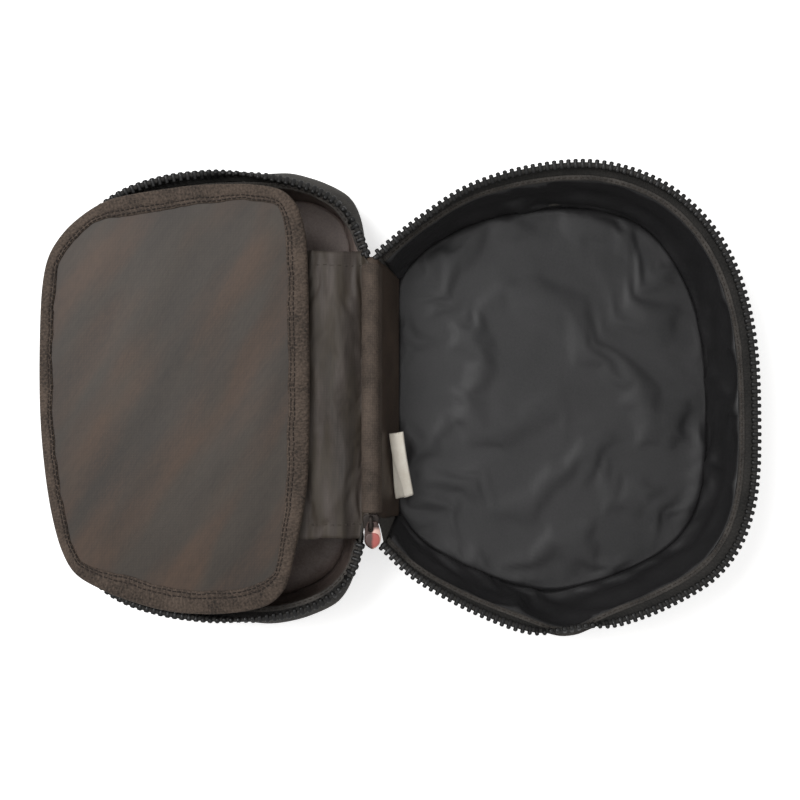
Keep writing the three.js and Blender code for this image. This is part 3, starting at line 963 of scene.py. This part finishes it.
def over_spine(
    name, finish, rise, thickness, foot_z, top_z, foot_x, waves, seed, span=(0.0, 1.0), ends=0.0,
):
    """A cloth that lies over the spine along Y, with soft waves that stand up by waves."""
    x, z, square = spine_section(rise, foot_z, top_z, foot_x)
    first, last = (int(share * (len(x) - 1)) for share in span)
    x, z, square = x[first:last + 1], z[first:last + 1], square[first:last + 1]
    up = (z - WALL_LOW) / (top_z - WALL_LOW)
    lower = SPINE_LOWER_END[0] + (SPINE_LOWER_END[1] - SPINE_LOWER_END[0]) * up + ends
    upper = SPINE_UPPER_END[0] + (SPINE_UPPER_END[1] - SPINE_UPPER_END[0]) * up - ends
    loose = np.sin(np.linspace(0, math.pi, len(x))) ** 0.7
    fronts, backs = [], []
    for along in np.linspace(0, 1, SPINE_STEPS):
        y = lower + (upper - lower) * along
        to_end = np.minimum(y - SPINE_LOWER_END[1], SPINE_UPPER_END[1] - y)
        droop = END_DROOP * np.exp(-np.clip(to_end, 0, None) / (3 * MM)) * up**2
        spot = np.column_stack([x, y, z])
        wave = lumps(spot, np.array([0.02, 0.03, 0.03]), seed)
        wave += 0.5 * lumps(spot, np.array([0.008, 0.011, 0.011]), seed + 1)
        out = wave * waves * loose
        front = np.column_stack([SPINE_X + x + square[:, 0] * out, y, z - droop + square[:, 1] * out])
        shift = np.column_stack([square[:, 0], np.zeros(len(x)), square[:, 1]]) * thickness
        fronts.append(front)
        backs.append(front - shift)
    return sweep(name, two_faces(np.stack(fronts), np.stack(backs)), finish)


spine_end = (SPINE_X - FOLD_ROUND, 0, FOLD_Z)
spine_panel = over_spine(
    "spine_panel", outer_cloth, 0.0, 1.7 * MM, WALL_LOW, PANEL_RIDGE_Z, SPINE_FOOT_X, 0.5 * MM, 61,
)
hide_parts("main_spine_wall", "cover_spine_wall")
spine_cloth = cloth_finish(
    "spine_satin", tone(36, 29, 24), tone(80, 67, 57), thread=0.00035, roughness=0.55, sheen=0.15,
    depth=0.00004, patch=0.02, speckle=0.25,
)
spine_satin = over_spine(
    "spine_lining", spine_cloth, 1.1 * MM, SATIN_THICKNESS, FLOOR_Z, LINING_RIDGE_Z, SPINE_FOOT_X + 0.4 * MM,
    1.1 * MM, 65, ends=0.5 * MM,
)
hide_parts("main_spine_lining", "cover_spine_lining")
fold_cloth = cloth_finish(
    "fold_polyester", tone(42, 36, 31), tone(92, 80, 71), thread=0.0006, patch=0.012, speckle=0.35,
)
fold_tape = over_spine(
    "spine_fold_tape", fold_cloth, 1.9 * MM, 0.7 * MM, 30 * MM, TAPE_RIDGE_Z, 5.6 * MM, 0.35 * MM, 68,
    span=(0.24, 0.76), ends=4.0 * MM,
)
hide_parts("spine_fold")
for part in (spine_panel, spine_satin, fold_tape):
    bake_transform(part)

# ---------------------------------------------------------------------------------------------
# Corner gussets: a small triangle of the outer cloth at each end of each side wall. It closes
# the wall against the spine; below the slider the two trays' gussets leave the zip's mouth open.
# ---------------------------------------------------------------------------------------------
GUSSET_INSET = 1.5 * MM
GUSSET_GAP = 0.4 * MM
GUSSET_TOP_Z = 44.2 * MM
GUSSET_HOLLOW = 1.2 * MM
for half in HALVES:
    for place, end, spine_end in (("upper", 0, SPINE_UPPER_END), ("lower", -1, SPINE_LOWER_END)):
        towards = 1 if place == "lower" else -1
        gap = towards * GUSSET_GAP
        square = inward(zip_edge[half])[end] * GUSSET_INSET
        mouth = np.array([*(zip_edge[half][end] + square), TEETH_Z - 2.5 * MM])
        foot = np.array([*(bottom[half][end] + inward(bottom[half])[end] * GUSSET_INSET), WALL_LOW])
        low_x = SPINE_X + SIDE[half] * (SPINE_FOOT_X - 0.8 * MM)
        low_corner = np.array([low_x, spine_end[0] + gap, WALL_LOW])
        high_x = SPINE_X + SIDE[half] * 3.2 * MM
        high_corner = np.array([high_x, spine_end[1] + gap, GUSSET_TOP_Z])
        outside, inside = [], []
        for rise in np.linspace(0, 1, 22):
            near = low_corner + (high_corner - low_corner) * rise
            far = foot + (mouth - foot) * rise
            row = []
            for share in np.linspace(0, 1, 12):
                spot = near + (far - near) * share
                hollow = math.sin(math.pi * share) * (0.3 + 0.7 * rise) * GUSSET_HOLLOW
                wave = 0.5 * MM * noise.noise(Vector(spot / 0.009)) * math.sin(math.pi * share)
                row.append(spot + np.array([0, towards * (hollow + wave), 0]))
            outside.append(row)
            inside.append([spot + np.array([SIDE[half] * 0.5, towards * 0.9, 0]) * MM for spot in row])
        corner = sweep(
            f"{half}_{place}_corner_gusset", two_faces(np.array(outside), np.array(inside)), outer_cloth,
        )
        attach(corner, f"{half}_half")

# ---------------------------------------------------------------------------------------------
# Label: a cream satin ribbon 14.8 mm wide, folded lengthwise to 7.4 mm and caught by its upper end
# in the spine lining. It is blank, and its fold is askew: the under layer shows past the upper one.
# ---------------------------------------------------------------------------------------------
tag_low, tag_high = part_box("label_tag")
TAG_MIDDLE = np.array((tag_low + tag_high) / 2) + np.array([-0.7, 0, 0]) * MM
TAG_WIDTH = 7.4 * MM
TAG_LENGTH = 35.5 * MM
TAG_TILT = math.radians(13)
TAG_TURN = math.radians(8.5)
TAG_ROLL = math.radians(14)
RIBBON_THICKNESS = 0.3 * MM
ribbon = cloth_finish(
    "label_ribbon", tone(228, 219, 203), tone(252, 247, 236), thread=0.0003, roughness=0.55, sheen=0.3,
    depth=0.00004, patch=0.01, speckle=0.15,
)
aside = np.array([math.cos(TAG_TURN), math.sin(TAG_TURN), math.sin(TAG_ROLL)])
aside /= np.linalg.norm(aside)
down = np.array([
    math.sin(TAG_TURN) * math.cos(TAG_TILT), -math.cos(TAG_TURN) * math.cos(TAG_TILT), -math.sin(TAG_TILT),
])
lift = np.cross(down, aside)
lift *= math.copysign(1, lift[2])
lift /= np.linalg.norm(lift)
fronts, backs = [], []
for share in np.linspace(0, 1, 26):
    bend = 0.7 * MM * math.sin(share * 5.0) - 1.2 * MM * share**3
    middle = TAG_MIDDLE + down * (share - 0.5) * TAG_LENGTH + lift * bend
    askew = 2.6 * MM * float(ease(share, 0.2, 1.0))
    part = np.linspace(0, 1, 31)
    lower_layer = -TAG_WIDTH / 2 - askew + (TAG_WIDTH + askew) * part / 0.5
    upper_layer = TAG_WIDTH / 2 - (TAG_WIDTH - askew) * (part - 0.5) / 0.5
    x = np.where(part < 0.5, lower_layer, upper_layer)
    camber = 0.7 * MM * np.cos(np.clip(x / TAG_WIDTH, -0.5, 0.5) * math.pi)
    z = 0.45 * MM * np.tanh((part - 0.5) * 22) + camber - 0.12 * askew * (x < 0) * (part < 0.5)
    ahead = unit(np.gradient(np.column_stack([x, z]), axis=0))
    line = middle + aside * x[:, None] + lift * z[:, None]
    line -= down * (x * 0.35 * max(share - 0.6, 0))[:, None]
    square = aside * ahead[:, 1:] - lift * ahead[:, :1]
    fronts.append(line + square * RIBBON_THICKNESS / 2)
    backs.append(line - square * RIBBON_THICKNESS / 2)
label = sweep("folded_label", two_faces(np.array(fronts), np.array(backs)), ribbon)
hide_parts("label_tag")
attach(label, "main_half")

# ---------------------------------------------------------------------------------------------
# Page: a padded leaf that turns on the spine between the two trays. Thin foam and coated nylon
# cover each side of a board; the nylon is smooth, and its faint slanting streaks are painted sheen.
# ---------------------------------------------------------------------------------------------
PAGE_Z = FOLD_Z
PAGE_HALF = 2.5 * MM
SKIN_INSET = 2.2 * MM
PAGE_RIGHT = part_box("page_binding")[1].x - SPINE_X
PAGE_LINE = [
    (-30.5, 0), (-31, 48), (-31.8, 74), (-33, 85), (-37, 97), (-45, 104.5), (-58, 107), (-70, 107.4),
    (-87.5, 106.7), (-103, 104.7), (-117, 102.5), (-129, 99.8), (-139, 94.8), (-149, 87), (-156, 78.7),
    (-160.5, 70), (-163, 58), (-164.2, 40), (-164.6, 10), (-163.8, -15), (-161.3, -40), (-157.8, -60),
    (-153, -76), (-146, -87), (-132, -95), (-117, -100.7), (-100, -105), (-82.5, -106.4), (-70, -105.9),
    (-58.5, -104.2), (-49, -100.5), (-42, -92), (-38, -77), (-34, -57), (-31.5, -38),
]
# painted sheen: the lighter, browner streaks (other), stretched along the slant, stand in for the nylon's
# soft diagonal sheen
page_nylon = cloth_finish(
    "page_nylon", tone(32, 26, 21), tone(64, 56, 48), thread=0.0004, roughness=0.55, sheen=0.05,
    depth=0.00003, patch=0.022, speckle=0.2, stretch=4.0, slant=math.radians(58), other=tone(76, 58, 45),
)
page_line = pattern_line(PAGE_LINE, 320, looped=True)
page_square = inward(page_line, looped=True)
page_line = page_line - page_square * 0.4 * MM
skin_line = page_line + page_square * SKIN_INSET
page_middle = page_line.mean(axis=0)


def crown(facing, seed):
    """How a side of the page swells from its edge, with the slight waves of cloth over foam."""

    def height(flat, share):
        spot = np.column_stack([flat @ np.array([[0.53, -0.85], [0.85, 0.53]]), np.zeros(len(flat))])
        waves = lumps(spot, np.array([0.09, 0.016, 1]), seed) * 0.45 * MM
        waves += lumps(spot, np.array([0.05, 0.05, 1]), seed + 1) * 0.4 * MM
        return facing * (0.55 * MM * ease(1 - share, 0.03, 0.35) + waves * ease(1 - share, 0.02, 0.3))

    return height


for side, facing in (("front", 1), ("back", -1)):
    outer, inner = PAGE_Z + facing * PAGE_HALF, PAGE_Z + facing * 1.1 * MM
    edge = [(0.2, 0.1), (0.0, 0.5), (0.1, 0.85), (0.6, 1.0)]
    rim = [(inset * MM, inner + (outer - facing * 0.35 * MM - inner) * rise) for inset, rise in edge]
    if facing > 0:
        skin = filled(f"page_{side}_skin", skin_line, rim, page_nylon, high=crown(1, 71), steps=40)
    else:
        skin = filled(f"page_{side}_skin", skin_line, rim[::-1], page_nylon, low=crown(-1, 75), steps=40)
    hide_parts(f"page_{side}")
    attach(skin, "page")

# ---------------------------------------------------------------------------------------------
# Page binding: a fuzzy grosgrain tape folded over the page's edge and sewn through near its
# inner edges. It is wider on the side beside the spine and along the bottom.
# ---------------------------------------------------------------------------------------------
BINDING_THICKNESS = 0.7 * MM
LOWER_LIP = 7 * MM
grosgrain = cloth_finish(
    "binding_grosgrain", tone(20, 16, 13), tone(87, 75, 66), thread=0.0009, patch=0.012, speckle=0.6,
    depth=0.0004, twill=True, sheen=0.25,
)
from_middle = page_line - page_middle
spread = from_middle / np.abs(from_middle).max(axis=0)
across, up = spread[:, 0], spread[:, 1]
lip = 7.2 + 4.1 * ease(across, 0.72, 0.96) + 5.8 * ease(-up, 0.78, 0.98)
lip += (4.6 - 3.4 * ease(across, -0.4, 0.7)) * ease(up, 0.8, 0.97)
lip = np.minimum(lip, 12.4)
wander = lumps(raised(page_line, 0), 0.016, 81) * 0.8 + lumps(raised(page_line, 0), 0.005, 82) * 0.45
lip = (lip + wander) * MM
EDGE_ROUND = PAGE_HALF + 0.1 * MM
GROOVE = 0.62  # how far in from the page's edge the sewing pulls the tape down, as a share of its width


def tape_top(share, bump):
    """How high the tape lies over the middle of the page, a share of the way in from its edge."""
    pulled = 0.45 * MM * math.exp(-(((share - GROOVE) / 0.1) ** 2)) + 0.25 * MM * share**6
    return EDGE_ROUND + bump * math.sin(share * 2.9) - pulled


def binding_rings(line, square, lip_top, lip_low, rise):
    """Rings of a tape folded over the edge: from its lower edge round the outside to its upper."""
    rings = []
    for (x, y), (sx, sy), top, low, bump in zip(line, square, lip_top, lip_low, rise):
        profile = []
        for share in np.linspace(1, 0.12, 7):
            sunk = EDGE_ROUND + bump * math.sin(share * 3)
            profile.append((EDGE_ROUND + (low - EDGE_ROUND) * share, -sunk))
        for turn in np.linspace(-0.5, 0.5, 9) * math.pi:
            profile.append((EDGE_ROUND * (1 - 0.9 * math.cos(turn)), EDGE_ROUND * math.sin(turn)))
        for share in np.linspace(0.07, 1, 16):
            profile.append((EDGE_ROUND + (top - EDGE_ROUND) * share, tape_top(share, bump)))
        profile = np.array(profile)
        ahead = unit(np.gradient(profile, axis=0))
        inner = profile + np.column_stack([ahead[:, 1], -ahead[:, 0]]) * BINDING_THICKNESS
        ring = np.vstack([profile, inner[::-1]])
        rings.append(np.column_stack([x + sx * ring[:, 0], y + sy * ring[:, 0], PAGE_Z + ring[:, 1]]))
    return rings


puff = 0.55 + 0.3 * lumps(raised(page_line, 0), 0.01, 83)
puff = (puff + 0.2 * lumps(raised(page_line, 0), 0.004, 84)) * MM
binding = sweep(
    "page_edge_binding", binding_rings(page_line, page_square, lip, np.full(len(lip), LOWER_LIP), puff),
    grosgrain, looped=True,
)
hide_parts("page_binding")
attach(binding, "page")
binding_thread = cloth_finish(
    "binding_thread", tone(22, 18, 16), tone(52, 44, 39), thread=0.0003, patch=0.01, speckle=0.3, sheen=0.1,
)
for name, share, seed in (("outer", GROOVE, 85), ("inner", 0.86, 86)):
    stray = lumps(raised(page_line, 0), 0.0035, seed) * 0.5 * MM
    inset = EDGE_ROUND + (lip - EDGE_ROUND) * share + stray
    height = PAGE_Z + np.array([tape_top(share, bump) for bump in puff]) + 0.1 * MM
    row = np.column_stack([page_line + page_square * inset[:, None], height])
    seam_stitches = stitched(
        f"binding_{name}_stitches", row, raised(-page_square, 0), binding_thread, pitch=2.5 * MM,
        length=2.1 * MM, thick=0.34 * MM,
    )
    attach(seam_stitches, "page")

# ---------------------------------------------------------------------------------------------
# Hinge strip: a doubled strip of the page's nylon, hemmed at both ends. One long side is sewn
# under the page's inner edge and the other to the spine fold, and it hangs a little slack.
# ---------------------------------------------------------------------------------------------
strip_low, strip_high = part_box("page_hinge_strip")
STRIP_PAGE_X = strip_low.x
STRIP_FOLD_X = SPINE_X - 4.6 * MM
STRIP_SEWN_X = SPINE_X + PAGE_RIGHT - 1 * MM
STRIP_Z = strip_low.z + 0.3 * MM
STRIP_FOLD_Z = 42.5 * MM
STRIP_THICKNESS = 0.7 * MM
STRIP_SAG = 1.6 * MM  # the most that it may hang or swell where it is loose
STRIP_COLUMNS = 46
STRIP_ROWS = 80
strip_nylon = cloth_finish(
    "strip_nylon", tone(38, 33, 29), tone(84, 76, 71), thread=0.0004, roughness=0.65, sheen=0.1,
    depth=0.00004, patch=0.01, speckle=0.2, stretch=6.0, slant=math.radians(90), other=tone(66, 58, 48),
)
x = np.linspace(STRIP_PAGE_X, STRIP_FOLD_X, STRIP_COLUMNS)
y = np.linspace(strip_low.y, strip_high.y, STRIP_ROWS)
rise = STRIP_Z + (STRIP_FOLD_Z - STRIP_Z) * ease(x, STRIP_FOLD_X - 9 * MM, STRIP_FOLD_X)
swell = ease(x, STRIP_SEWN_X, STRIP_SEWN_X + 14 * MM)
swell *= 1 - ease(x, STRIP_FOLD_X - 10 * MM, STRIP_FOLD_X - 5 * MM)
rise += 2.0 * MM * swell - 1.8 * MM * (1 - ease(x, STRIP_SEWN_X + 2 * MM, STRIP_SEWN_X + 11 * MM))
slack = np.sin(np.clip((x - STRIP_SEWN_X) / (STRIP_FOLD_X - STRIP_SEWN_X), 0, 1) * math.pi)
grid = np.zeros((STRIP_ROWS, STRIP_COLUMNS, 3))
grid[..., 0], grid[..., 1], grid[..., 2] = x[None], y[:, None], rise[None]
nudge = lumps(grid.reshape(-1, 3), np.array([0.007, 0.06, 1]), 91).reshape(STRIP_ROWS, STRIP_COLUMNS)
grid[..., 2] += slack * (1.3 * MM * nudge - 0.6 * MM)
pinned = np.zeros((STRIP_ROWS, STRIP_COLUMNS), bool)
pinned[:, x <= STRIP_SEWN_X] = pinned[:, [0, -1]] = True
slackened = settle(grid, pinned, 0.012)
moved = slackened - grid
moved[..., 2] = STRIP_SAG * np.tanh(moved[..., 2] / STRIP_SAG)
moved[..., :2] = np.clip(moved[..., :2], -0.8 * MM, 0.8 * MM)
top = grid + moved
from_end = np.minimum(y - y[0], y[-1] - y)
hem = 0.35 * MM * (1 - ease(from_end, 4.5 * MM, 6 * MM))
top[..., 2] += hem[:, None] * slack[None]
sewn_in = []  # the four last columns rise over the fold and end in its seam
for share, beside, z in ((0.3, 3.9, 45.0), (0.6, 3.1, 46.8), (0.85, 2.2, 47.8), (1.0, 1.2, 48.2)):
    held_y = y + (np.clip(y, -57 * MM, 69 * MM) - y) * share
    column = np.full((STRIP_ROWS, 3), (SPINE_X - beside * MM, 0, z * MM))
    column[:, 1] = held_y
    sewn_in.append(column)
cloth = np.concatenate([top, np.stack(sewn_in, axis=1)], axis=1)
strip = sweep("page_hinge_cloth", two_faces(cloth, cloth - UP * STRIP_THICKNESS), strip_nylon)
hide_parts("page_hinge_strip")
hems = []
for number in (4, -5):
    row = top[number][x > STRIP_SEWN_X + 1 * MM][:-2] + UP * 0.05 * MM
    outwards = np.tile([[0.0, 1.0, 0.0]], (len(row), 1))
    hem_row = stitched(
        f"hinge_cloth_hem_{'lower' if number > 0 else 'upper'}", row, outwards, strip_nylon, length=2.0 * MM,
    )
    hems.append(hem_row)
for part in (strip, *hems):
    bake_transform(part)

# ---------------------------------------------------------------------------------------------
# Slider: two shield-shaped zinc plates joined by a post, with a low bridge that holds the pull.
# It is cast and blackened, a little mottled, and stands at the lower end of the spine.
# ---------------------------------------------------------------------------------------------
slider_low, slider_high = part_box("zip_slider")
NOSE_Y, TAIL_Y = slider_low.y, slider_high.y
SLIDER_WIDTH = slider_high.x - slider_low.x
LOWER_PLATE_Z = (slider_low.z, 44.3 * MM)
TOP_PLATE_Z = (46.9 * MM, 48.1 * MM)
POST_Z = (44.2 * MM, 47.0 * MM)

zinc, tree, shader, specks = mottled(
    "blackened_zinc", tone(18, 14, 12), tone(44, 36, 31), 900, 4, {"Metallic": 0.6}, relief_depth=0.00005,
)
dull = node(tree, "MapRange", {"To Min": 0.42, "To Max": 0.6}, {"Value": specks})
tree.links.new(dull.outputs[0], shader.inputs["Roughness"])


def mirrored(half_line):
    """A closed line from its right-hand half, given from the lower end to the upper."""
    half_line = np.array(half_line, float)
    return np.vstack([half_line, half_line[::-1] * [-1, 1]])


def plan(half_line, count=72):
    """A smooth closed plan outline on the spine, from millimetres beside it and along it."""
    line = evenly(mirrored(half_line), count, looped=True)
    for _ in range(2):
        line = (np.roll(line, 1, axis=0) + 2 * line + np.roll(line, -1, axis=0)) / 4
    return np.column_stack([SPINE_X + line[:, 0] * MM, line[:, 1] * MM])


def cast_edge(low, high, bevel):
    """The rounded rim of a cast plate, as filled takes it."""
    return [
        (bevel, low), (bevel * 0.3, low + bevel * 0.3), (0, low + bevel), (0, high - bevel),
        (bevel * 0.3, high - bevel * 0.3), (bevel, high),
    ]


nose, tail, half_width = NOSE_Y / MM, TAIL_Y / MM, SLIDER_WIDTH / MM / 2
shield = plan([
    (2.4, nose), (3.0, nose + 1.2), (3.5, nose + 4), (half_width - 0.1, nose + 7.5), (half_width, tail - 1.6),
    (half_width - 0.9, tail - 0.4), (2.0, tail), (0.2, tail),
])
post = plan([(0.8, nose + 5), (1.0, nose + 6), (1.0, tail - 0.9), (0.6, tail - 0.5)], count=32)
plates = [
    filled("slider_top_plate", shield, cast_edge(*TOP_PLATE_Z, 0.4 * MM), zinc, steps=5),
    filled("slider_lower_plate", shield, cast_edge(*LOWER_PLATE_Z, 0.35 * MM), zinc, steps=5),
    filled("slider_post", post, cast_edge(*POST_Z, 0.1 * MM), zinc, steps=3),
]
arch_y = np.array([-57.9, -57.9, -58.1, -58.7, -59.6, -61.2, -62.9, -63.8, -64.3, -64.4, -64.4])
arch_z = np.array([47.7, 49.2, 50.1, 50.7, 50.85, 50.85, 50.8, 50.55, 49.9, 49.1, 47.7])
arch = np.column_stack([np.full(len(arch_y), SPINE_X / MM), arch_y, arch_z]) * MM
arch = evenly(arch, 36)
arch_out = np.tile([[1.0, 0.0, 0.0]], (len(arch), 1))
arch_axes = axes_along(arch, arch_out)
arch_up = np.cross(arch_axes[:, 0], arch_out)
bridge_rings = round_rings(arch, arch_out, arch_up, 0.85 * MM, 0.36 * MM, sides=14)
plates.append(sweep("slider_bridge", bridge_rings, zinc))
for side in (-1, 1):
    flange_line = [
        (SPINE_X + side * (width - 0.35) * MM, along * MM, z * MM)
        for width, along, z in (
            (2.6, nose + 0.5, 44.6), (2.9, nose + 1.6, 45.0), (3.4, nose + 4, 45.1),
            (half_width - 0.2, nose + 7.2, 45.1), (half_width - 0.1, tail - 1.7, 45.0),
            (half_width - 0.4, tail - 1.0, 44.5),
        )
    ]
    flange_line = evenly(np.array(flange_line), 30)
    flange = round_rings(flange_line, (side, 0, 0), UP, 0.38 * MM, 0.75 * MM)
    plates.append(sweep(f"slider_flange_{'right' if side > 0 else 'left'}", flange, zinc))
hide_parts("zip_slider")
for part in plates:
    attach(part, "slider")

# ---------------------------------------------------------------------------------------------
# Pull: a drop-shaped zinc tongue that hangs in the slider's bridge by the slot at its upper end.
# Its face is filled with rose enamel. Tongue and enamel carry painted shade on the left side, a painted
# highlight on the right below the eye, and are darker towards the eye.
# ---------------------------------------------------------------------------------------------
pull_low, pull_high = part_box("pull_tab")
PULL_TOP_Y, PULL_TIP_Y = pull_high.y / MM, pull_low.y / MM
PULL_HALF = (pull_high.x - pull_low.x) / MM / 2 + 0.5
PULL_LOW_Z, PULL_HIGH_Z = pull_low.z, pull_high.z
SLOT_HALF = 1.25
SLOT_Y = (-65.7, -61.3)
PULL_ASIDE = np.array([0.8 * MM, 0])  # the tongue hangs a little to the right in the bridge


def through(*corners):
    """Points of the curve that starts and ends at the outer corners and bends towards the others."""
    p = [np.array(corner, float) for corner in corners]
    t = np.linspace(0, 1, 30)[:-1, None]
    while len(p) > 1:
        p = [a * (1 - t) + b * t for a, b in zip(p, p[1:])]
    return p[0]


tongue_half = np.vstack([
    through((0.1, PULL_TIP_Y), (PULL_HALF - 0.1, PULL_TIP_Y + 1.6), (PULL_HALF, PULL_TIP_Y + 4.6)),
    through((PULL_HALF, PULL_TIP_Y + 4.6), (PULL_HALF + 0.2, -66), (3.4, -63), (2.2, PULL_TOP_Y)),
])
tongue = plan(tongue_half, count=96) + PULL_ASIDE
slot_half = [
    (0.3, SLOT_Y[0]), (SLOT_HALF, SLOT_Y[0] + 0.4), (SLOT_HALF, SLOT_Y[1] - 0.3), (0.3, SLOT_Y[1]),
]
slot = plan(slot_half, count=64)


def from_point(line, middle, count):
    """The points of a closed line in even directions round a point inside it."""
    spoke = line - middle
    angle = np.arctan2(spoke[:, 1], spoke[:, 0])
    order = np.argsort(angle)
    angle, line = angle[order], line[order]
    angle = np.concatenate([angle - 2 * np.pi, angle, angle + 2 * np.pi])
    line = np.vstack([line, line, line])
    at = np.linspace(-np.pi, np.pi, count, endpoint=False)
    return np.stack([np.interp(at, angle, line[:, k]) for k in range(2)], axis=1)


def washer(name, outer, inner, low, high, bevel, finish):
    """A flat ring with rounded edges between two closed lines of equal point count."""
    across = inner - outer
    width = np.linalg.norm(across, axis=1)[:, None]
    unit = across / width
    soft = np.minimum(bevel, width * 0.3)
    top = [(0, bevel), (0.3, 0.25 * bevel), (1, 0)]
    rows = [raised(outer + unit * soft * a, high - b) for a, b in top]
    rows += [raised(inner - unit * soft * a, high - b) for a, b in top[::-1]]
    rows += [raised(inner - unit * soft * a, low + b) for a, b in top]
    rows += [raised(outer + unit * soft * a, low + b) for a, b in top[::-1]]
    return sweep(name, np.stack(rows, axis=1), finish, looped=True)


def shaded_lit_finish(name, dark, light, metallic, rough, coat):
    """The pull's finish: a painted highlight on its right side below the eye, painted shade on the left, and
    darker towards the eye above.
    """
    values = {"Metallic": metallic, "Roughness": rough, "Coat Weight": coat}
    finish, tree, shader = principled(name, values)
    place = node(tree, "TexCoord").outputs["Object"]
    axes = node(tree, "SeparateXYZ", feeds={0: place}).outputs
    flecks = node(tree, "TexNoise", {"Scale": 600}, {"Vector": place}).outputs["Fac"]
    kept = {}
    for number, (axis, dark_at, light_at) in enumerate(
        (("X", SPINE_X + 0.0008, SPINE_X + 0.002), ("Y", -0.0625, -0.0645))
    ):
        ragged = node(tree, "Math", {1: 0.0012}, {0: flecks, 2: axes[axis]}, operation="MULTIPLY_ADD")
        ends = {"From Min": dark_at, "From Max": light_at}
        kept[number] = node(tree, "MapRange", ends, {"Value": ragged.outputs[0]}).outputs[0]
    both = node(tree, "Math", feeds=kept, operation="MULTIPLY").outputs[0]
    tree.links.new(blend_of(tree, dark, light, both).outputs["Result"], shader.inputs["Base Color"])
    return finish


# the tongue's colour goes from painted shade on the left to a painted highlight (glint) on the right below
# the eye
rose_zinc = shaded_lit_finish("rose_zinc", tone(48, 30, 24), tone(200, 165, 155), 0.35, 0.45, 0.0)
eye_middle = np.array([SPINE_X, sum(SLOT_Y) / 2 * MM])
frame_outer = from_point(evenly(tongue, 720, looped=True), eye_middle, 140)
frame_inner = from_point(evenly(slot, 480, looped=True), eye_middle, 140)
pull_frame = washer("pull_frame", frame_outer, frame_inner, PULL_LOW_Z, PULL_HIGH_Z, 0.25 * MM, rose_zinc)

# the enamel too is painted dark on the left as shade and light on the right as a highlight
enamel = shaded_lit_finish("rose_enamel", tone(62, 36, 29), tone(172, 84, 77), 0.0, 0.45, 0.1)
widest = (PULL_HALF - 0.45, PULL_TIP_Y + 4.8)
face_half = np.vstack([
    through((0.1, PULL_TIP_Y + 0.6), (PULL_HALF - 0.6, PULL_TIP_Y + 1.9), widest),
    through(widest, (PULL_HALF - 0.5, -66.6), (1.9, -66.2), (0.2, -66.2)),
])
face = plan(face_half, count=64) + PULL_ASIDE
inlay_rim = [
    (inset * MM, PULL_HIGH_Z + rise * MM) for inset, rise in ((0.15, -0.3), (0, 0.05), (0.3, 0.2))
]
inlay = filled(
    "pull_enamel_face", face, inlay_rim, enamel, steps=6,
    high=lambda flat, share: 0.15 * MM * (1 - share**2),
)
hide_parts("pull_tab")
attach(pull_frame, "pull")
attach(inlay, "pull")
